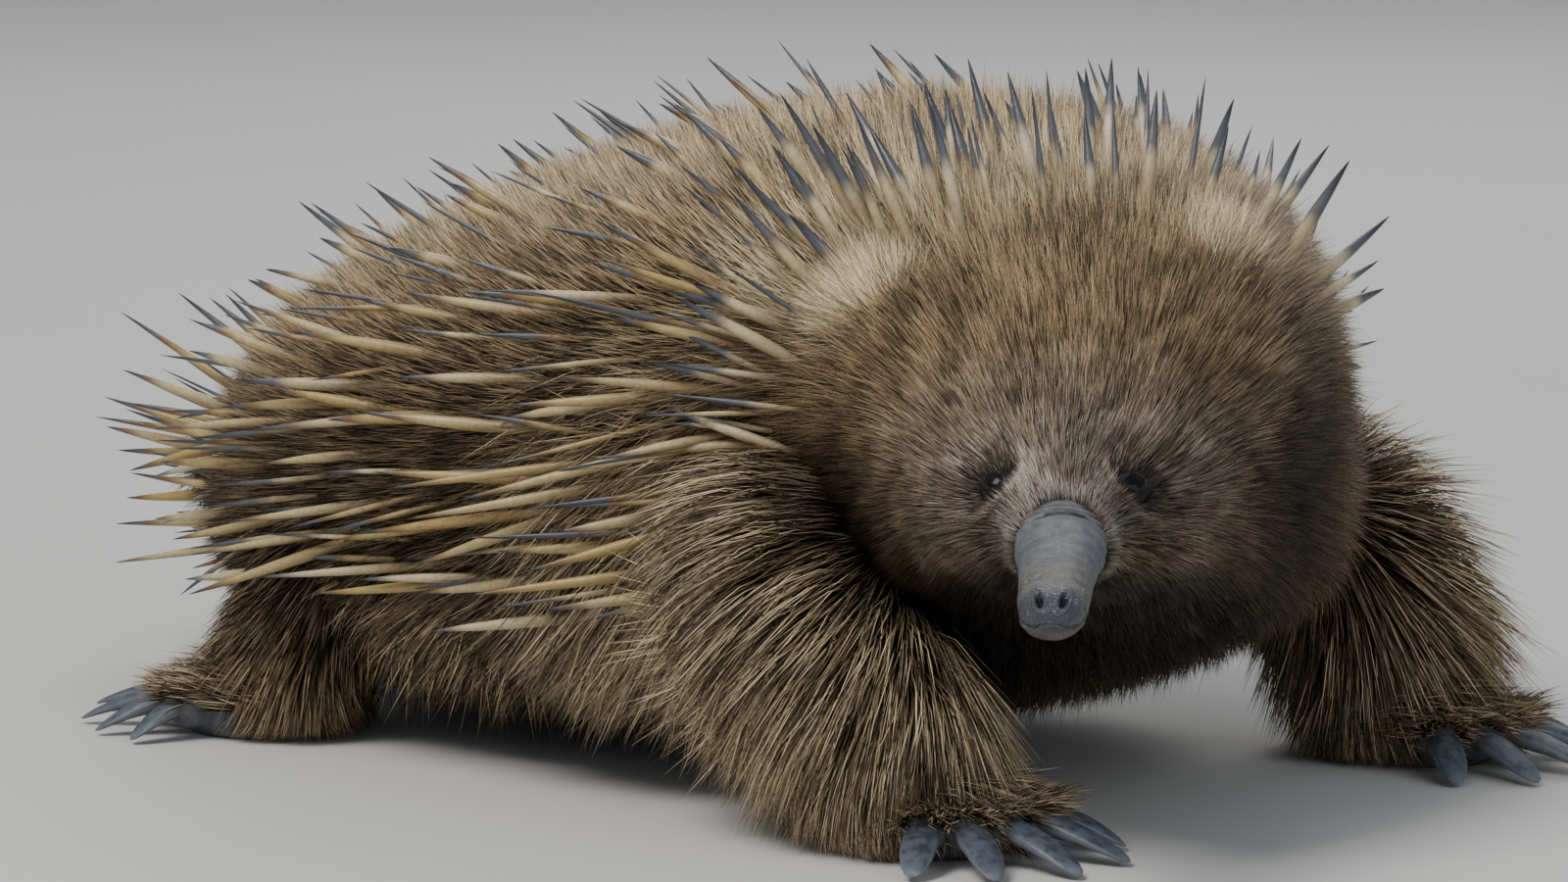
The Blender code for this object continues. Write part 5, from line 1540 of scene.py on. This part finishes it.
def spine_material(settings):
    """Horn: straw or cream below, then brown, and a dark tip as long as each spine's own."""
    made, nodes, shader = material("spines")
    along, tone, darkness = nodes.attribute("along"), nodes.attribute("tone"), nodes.attribute("darkness")
    pale = nodes.mix(tone, (*settings.straw, 1.0), (*settings.cream, 1.0))
    streaks = nodes.spread(nodes.noise(900.0, 3.0), 0.35, 0.75)
    pale = nodes.mix(nodes.times(streaks, 0.30), pale, (*settings.brown, 1.0))
    pale = nodes.mix(nodes.spread(along, 0.45, 0.0, 0.0, 0.55), pale, (*settings.brown, 1.0))
    change = nodes.math("SUBTRACT", 1.0, darkness)
    before = nodes.math("SUBTRACT", change, 0.24)
    after = nodes.math("ADD", change, 0.06)
    band = nodes.mix(nodes.spread(tone, 0.25, 0.80), (*settings.brown, 1.0), (*settings.slate, 1.0))
    banded = nodes.mix(nodes.spread(along, before, change), pale, band)
    slate = nodes.mix(nodes.spread(along, change, 0.96), (*settings.slate, 1.0), (*settings.tip, 1.0))
    colour = nodes.mix(nodes.spread(along, change, after), banded, slate)
    nodes.feed(shader["Base Color"], colour)
    nodes.feed(shader["Roughness"], nodes.spread(along, 0.0, 1.0, 0.44, 0.30))
    nodes.feed(shader["Normal"], nodes.bump(streaks, 0.00008, 0.5))
    return made


def claw_material(settings):
    """Horn in blue-grey: fine ridges along the claw, worn paler edges and a little soil at the root."""
    made, nodes, shader = material("claws")
    along, across = nodes.attribute("along"), nodes.attribute("across")
    ridged = nodes.add("ShaderNodeCombineXYZ")
    nodes.feed(ridged.inputs[0], nodes.times(across, 9.0))
    nodes.feed(ridged.inputs[1], along)
    ridges = nodes.noise(2.2, 3.0, ridged.outputs[0])
    clouds = nodes.spread(nodes.noise(420.0, 4.0), 0.35, 0.70)
    colour = nodes.mix(clouds, (*settings.colour, 1.0), (*settings.dark, 1.0))
    edge = nodes.spread(nodes.math("ABSOLUTE", across), 0.80, 1.0, 0.0, 0.55)
    worn = nodes.math("MAXIMUM", edge, nodes.spread(along, 0.82, 1.0, 0.0, 0.6))
    colour = nodes.mix(worn, colour, (*settings.worn, 1.0))
    spots = nodes.spread(along, 0.30, 0.05)
    soil = nodes.times(spots, nodes.spread(nodes.noise(600.0, 3.0), 0.4, 0.6))
    colour = nodes.mix(nodes.times(soil, 0.7), colour, (*settings.soil, 1.0))
    nodes.feed(shader["Base Color"], colour)
    nodes.feed(shader["Roughness"], nodes.spread(ridges, 0.3, 0.7, 0.34, 0.52))
    nodes.feed(shader["Normal"], nodes.bump(ridges, 0.00020, 0.6))
    return made


def eye_material(settings):
    """A dark eye: a black middle, a deep brown ring, and a clear wet surface."""
    made, nodes, shader = material("eyes", roughness=0.20, specular=0.16)
    off = nodes.attribute("off_centre")
    ring = nodes.spread(off, settings.pupil, settings.pupil + 0.06)
    colour = nodes.mix(ring, (0.004, 0.004, 0.005, 1.0), (*settings.iris, 1.0))
    colour = nodes.mix(nodes.spread(off, 0.62, 0.80), colour, (0.012, 0.009, 0.008, 1.0))
    nodes.feed(shader["Base Color"], colour)
    return made


# The soft lights: where each stands, how wide it is and its colour.
LIGHTS = {
    "key": ((-0.1, -1.1, 1.7), 0.9, (1.0, 0.975, 0.94)),
    "fill": ((1.6, -0.3, 0.8), 1.2, (0.93, 0.96, 1.0)),
    "rim": ((-0.9, 1.2, 1.1), 0.9, (1.0, 0.98, 0.95)),
}
LIGHT_TARGET, SENSOR_WIDTH = (0.0, 0.0, 0.06), 36.0


def area_light(name, place, target, width, power, colour):
    """A square soft light that faces a point."""
    light = bpy.data.lights.new(name, "AREA")
    light.size, light.energy, light.color = width, power, colour
    made = bpy.data.objects.new(name, light)
    bpy.context.scene.collection.objects.link(made)
    made.location = place
    made.rotation_euler = (Vector(target) - Vector(place)).to_track_quat("-Z", "Y").to_euler()
    return made


def make_floor(settings):
    """A wide pale floor under the animal."""
    half = settings.floor_size / 2
    corners = np.array([(-half, -half, 0), (half, -half, 0), (half, half, 0), (-half, half, 0)], float)
    floor = new_mesh("floor", corners, [np.array([(0, 1, 2, 3)])])
    made, nodes, shader = material("floor", roughness=0.8)
    base = (*settings.floor_colour, 1.0)
    darker = tuple(0.93 * value for value in settings.floor_colour) + (1.0,)
    nodes.feed(shader["Base Color"], nodes.mix(nodes.noise(6.0, 3.0), base, darker))
    floor.data.materials.append(made)


def make_camera(settings):
    """The camera at the photograph's angle, aimed a little over the middle of the animal."""
    azimuth, elevation = math.radians(settings.azimuth), math.radians(settings.elevation)
    level = math.cos(elevation)
    toward = Vector((math.sin(azimuth) * level, -math.cos(azimuth) * level, math.sin(elevation)))
    right = Vector((math.cos(azimuth), math.sin(azimuth), 0.0))
    target = toward.cross(right) * settings.aim_height + Vector(SHIFT)
    lens = bpy.data.cameras.new("camera")
    lens.lens, lens.sensor_width = settings.lens, SENSOR_WIDTH
    camera = bpy.data.objects.new("camera", lens)
    bpy.context.scene.collection.objects.link(camera)
    camera.location = target + toward * settings.distance
    camera.rotation_euler = toward.to_track_quat("Z", "Y").to_euler()
    bpy.context.scene.camera = camera


def make_world(settings):
    """Even light from all round."""
    world = bpy.data.worlds.new("studio")
    bpy.context.scene.world = world
    world.use_nodes = True
    background = world.node_tree.nodes["Background"]
    background.inputs["Color"].default_value = (*settings.sky_colour, 1.0)
    background.inputs["Strength"].default_value = settings.sky_strength


def number(name, description, default, **more):
    """A setting that is one number."""
    return FloatProperty(name=name, description=description, default=default, **more)


def share(name, description, default):
    """A setting that is a share of what is modelled."""
    return number(name, description, default, min=0.05, max=3.0, subtype="FACTOR")


def tint(name, description, default):
    """A setting that is a colour."""
    return FloatVectorProperty(
        name=name, description=description, default=default, size=3, min=0.0, max=1.0, subtype="COLOR"
    )


class SkinSettings(bpy.types.PropertyGroup):
    beak_colour: tint("Beak", "Hide of the beak", (0.165, 0.180, 0.202))
    beak_dark: tint("Beak, dark", "Darker clouds and seams of the hide", (0.055, 0.058, 0.066))
    # Painted shade in the grooves between the folds and in the nostrils.
    groove_shade: tint("Grooves", "Grooves between the folds, and nostrils", (0.010, 0.010, 0.012))
    sand_colour: tint("Sand", "Dry soil on the outer half of the beak", (0.270, 0.232, 0.155))
    tip_colour: tint("Tip", "Wet tip of the beak", (0.036, 0.041, 0.054))
    lip_colour: tint("Lip", "Lower lip", (0.105, 0.058, 0.044))
    lid_colour: tint("Lids", "Bare skin round the eyes", (0.020, 0.019, 0.020))
    lid_dark: tint("Lids, dark", "Folds of the lids", (0.010, 0.009, 0.009))
    ear_colour: tint("Ears", "Skin of the ears", (0.400, 0.300, 0.220))
    ear_dark: tint("Ears, dark", "Hollow of the ears", (0.160, 0.100, 0.075))


class CoatSettings(bpy.types.PropertyGroup):
    density: share("Density", "Number of tufts, as a share of the modelled number", 1.0)
    length: share("Length", "Length of every hair, as a share of the modelled length", 1.0)
    width: share("Width", "Width of every tuft, as a share of the modelled width", 1.0)
    seed: IntProperty(name="Seed", description="Start of the random numbers", default=7, min=0)
    root: tint("Root", "Root of a brown hair", (0.014, 0.007, 0.003))
    middle: tint("Middle", "Middle of a brown hair", (0.094, 0.055, 0.024))
    tip: tint("Tip", "Tip of a brown hair", (0.415, 0.305, 0.178))
    pale_root: tint("Pale root", "Root of a pale hair", (0.085, 0.048, 0.020))
    pale_tip: tint("Pale tip", "Tip of a pale hair", (0.700, 0.575, 0.375))
    grey_root: tint("Grey root", "Root of a hair of the face", (0.030, 0.018, 0.010))
    silver: tint("Silver", "Tip of the palest hairs by the beak", (0.500, 0.485, 0.455))
    grey_tip: tint("Grey tip", "Tip of a hair of the face", (0.300, 0.245, 0.188))


class SpineSettings(bpy.types.PropertyGroup):
    length: share("Length", "Length of every spine, as a share of the modelled length", 1.0)
    width: share("Width", "Width of every spine, as a share of the modelled width", 1.0)
    seed: IntProperty(name="Seed", description="Start of the random numbers", default=20, min=0)
    straw: tint("Straw", "Warm colour of the lower part", (0.430, 0.300, 0.095))
    cream: tint("Cream", "Pale colour of the lower part", (0.680, 0.590, 0.390))
    brown: tint("Brown", "Change between pale and dark", (0.160, 0.090, 0.040))
    slate: tint("Slate", "Start of the dark part, next to the pale one", (0.092, 0.097, 0.112))
    tip: tint("Tip", "Dark tip", (0.020, 0.023, 0.031))


class ClawSettings(bpy.types.PropertyGroup):
    colour: tint("Horn", "Blue-grey horn", (0.080, 0.096, 0.126))
    dark: tint("Horn, dark", "Darker clouds of the horn", (0.032, 0.038, 0.052))
    worn: tint("Worn edge", "Paler worn edges", (0.190, 0.205, 0.225))
    soil: tint("Soil", "Soil at the root", (0.090, 0.058, 0.036))


class EyeSettings(bpy.types.PropertyGroup):
    pupil: number("Pupil", "Angle of the black middle", 0.34, min=0.05, max=1.0, subtype="ANGLE")
    iris: tint("Iris", "Brown ring round the middle", (0.018, 0.011, 0.008))


class StageSettings(bpy.types.PropertyGroup):
    azimuth: number("Azimuth", "Camera's way round, in degrees", 45.0)
    elevation: number("Elevation", "Camera's rise, in degrees", 8.0)
    distance: number("Distance", "Camera's distance", 2.0, unit="LENGTH")
    aim_height: number("Aim", "Height of the aim", 0.0677, unit="LENGTH")
    lens: number("Lens", "Focal length in millimetres", 200.0)
    floor_size: number("Floor", "Width of the floor", 14.0, unit="LENGTH")
    floor_colour: tint("Floor", "Colour of the floor", (0.62, 0.61, 0.59))
    sky_colour: tint("Sky", "Colour of the light all round", (0.80, 0.86, 0.94))
    sky_strength: share("Sky strength", "Strength of the light all round", 0.40)
    key: number("Key", "Power of the main light", 32.0, unit="POWER")
    fill: number("Fill", "Power of the fill light", 7.0, unit="POWER")
    rim: number("Rim", "Power of the light from behind", 9.0, unit="POWER")


SETTINGS = {
    "echidna_skin": SkinSettings,
    "echidna_coat": CoatSettings,
    "echidna_spines": SpineSettings,
    "echidna_claws": ClawSettings,
    "echidna_eyes": EyeSettings,
    "echidna_stage": StageSettings,
}


class ECHIDNA_OT_skin(bpy.types.Operator):
    """Make the one skin of the trunk, beak, legs and feet"""

    bl_idname = "echidna.make_skin"
    bl_label = "Skin"

    def execute(self, context):
        limbs = ("foreleg", "forefoot", "hindleg", "hindfoot")
        flesh = [f"{limb}_{side}" for limb in limbs for side in ("left", "right")]
        finish = skin_material(context.scene.echidna_skin, context.scene.echidna_coat)
        finish_piece(make_skin(), finish, "tail", "torso", "neck", "head", "beak", *flesh, slot="beak_skin")
        return {"FINISHED"}


class ECHIDNA_OT_coat(bpy.types.Operator):
    """Make the tufts of the coat, stretch by stretch and leg by leg, and the pale tufts of the ears"""

    bl_idname = "echidna.make_coat"
    bl_label = "Coat"

    def execute(self, context):
        settings = context.scene.echidna_coat
        finish = coat_material("coat", settings)
        for number, name in enumerate(COAT_STRETCHES):
            made = coat_stretch(name, settings, np.random.default_rng((settings.seed, number)))
            finish_piece(made, finish, slot="coat")
        for number, name in enumerate(LOCK_TURNS):
            made = coat_locks(name, settings, np.random.default_rng((settings.seed, 50 + number)))
            finish_piece(made, finish, slot="coat")
        for number, (name, leg) in enumerate(LEGS.items()):
            random = np.random.default_rng((settings.seed, 100 + number))
            finish_piece(make_leg_coat(f"coat_{name}", leg, settings, random), finish, slot="coat")
        random = np.random.default_rng((settings.seed, 200))
        finish_piece(make_ear_tufts(settings, random), finish, slot="coat")
        return {"FINISHED"}


class ECHIDNA_OT_spines(bpy.types.Operator):
    """Make the spines of the back, neck and tail"""

    bl_idname = "echidna.make_spines"
    bl_label = "Spines"

    def execute(self, context):
        settings = context.scene.echidna_spines
        finish = spine_material(settings)
        for number, (name, field) in enumerate(SPINES.items()):
            random = np.random.default_rng((settings.seed, number))
            finish_piece(make_spines(f"spines_{name}", field, settings, random), finish, slot="coat")
        return {"FINISHED"}


class ECHIDNA_OT_head(bpy.types.Operator):
    """Make the eyes, their wrinkled lids and the cups of the ears"""

    bl_idname = "echidna.make_head"
    bl_label = "Eyes, lids and ears"

    def execute(self, context):
        skin = context.scene.echidna_skin
        eyes = eye_material(context.scene.echidna_eyes)
        lids = hide_material("lids", skin.lid_colour, skin.lid_dark, 0.9)
        ears = hide_material("ears", skin.ear_colour, skin.ear_dark, 0.6)
        for side, centre in EYES.items():
            finish_piece(make_eye(side, centre, EYE_NORMALS[side]), eyes, f"eye_{side}", slot="eye")
            finish_piece(make_lids(side, EYE_TURNS[side]), lids, slot="beak_skin")
            finish_piece(make_ear(side, EAR_TURNS[side]), ears, f"ear_{side}", slot="ear_skin")
        return {"FINISHED"}


class ECHIDNA_OT_claws(bpy.types.Operator):
    """Make the five claws of each foot"""

    bl_idname = "echidna.make_claws"
    bl_label = "Claws"

    def execute(self, context):
        finish = claw_material(context.scene.echidna_claws)
        for name, leg in LEGS.items():
            nodes = [f"claw_{name}_{number}" for number in range(1, 6)]
            finish_piece(make_claws(name, leg), finish, *nodes, slot="claw")
        return {"FINISHED"}


class ECHIDNA_OT_stage(bpy.types.Operator):
    """Set up the pale floor, the soft lights and the camera"""

    bl_idname = "echidna.make_stage"
    bl_label = "Stage"

    def execute(self, context):
        settings = context.scene.echidna_stage
        make_floor(settings)
        make_world(settings)
        make_camera(settings)
        for name, (place, width, colour) in LIGHTS.items():
            area_light(name, place, LIGHT_TARGET, width, getattr(settings, name), colour)
        return {"FINISHED"}


OPERATORS = (
    ECHIDNA_OT_skin,
    ECHIDNA_OT_coat,
    ECHIDNA_OT_spines,
    ECHIDNA_OT_head,
    ECHIDNA_OT_claws,
    ECHIDNA_OT_stage,
)


class ECHIDNA_PT_panel(bpy.types.Panel):
    """Lists the pieces of the echidna and their settings"""

    bl_label = "Echidna"
    bl_space_type = "VIEW_3D"
    bl_region_type = "UI"
    bl_category = "Echidna"

    def draw(self, context):
        for operator in OPERATORS:
            self.layout.operator(operator.bl_idname)
        for name, kind in SETTINGS.items():
            box = self.layout.box()
            for title in kind.__annotations__:
                box.prop(getattr(context.scene, name), title)


def register():
    for kind in (*SETTINGS.values(), *OPERATORS, ECHIDNA_PT_panel):
        bpy.utils.register_class(kind)
    for name, kind in SETTINGS.items():
        setattr(bpy.types.Scene, name, PointerProperty(type=kind))


def unregister():
    for name in SETTINGS:
        delattr(bpy.types.Scene, name)
    for kind in reversed((*SETTINGS.values(), *OPERATORS, ECHIDNA_PT_panel)):
        bpy.utils.unregister_class(kind)


def main():
    """Builds every piece and the stage."""
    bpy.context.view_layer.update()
    register()
    bpy.ops.echidna.make_skin()
    bpy.ops.echidna.make_coat()
    bpy.ops.echidna.make_spines()
    bpy.ops.echidna.make_head()
    bpy.ops.echidna.make_claws()
    bpy.ops.echidna.make_stage()


if __name__ == "__main__":
    main()
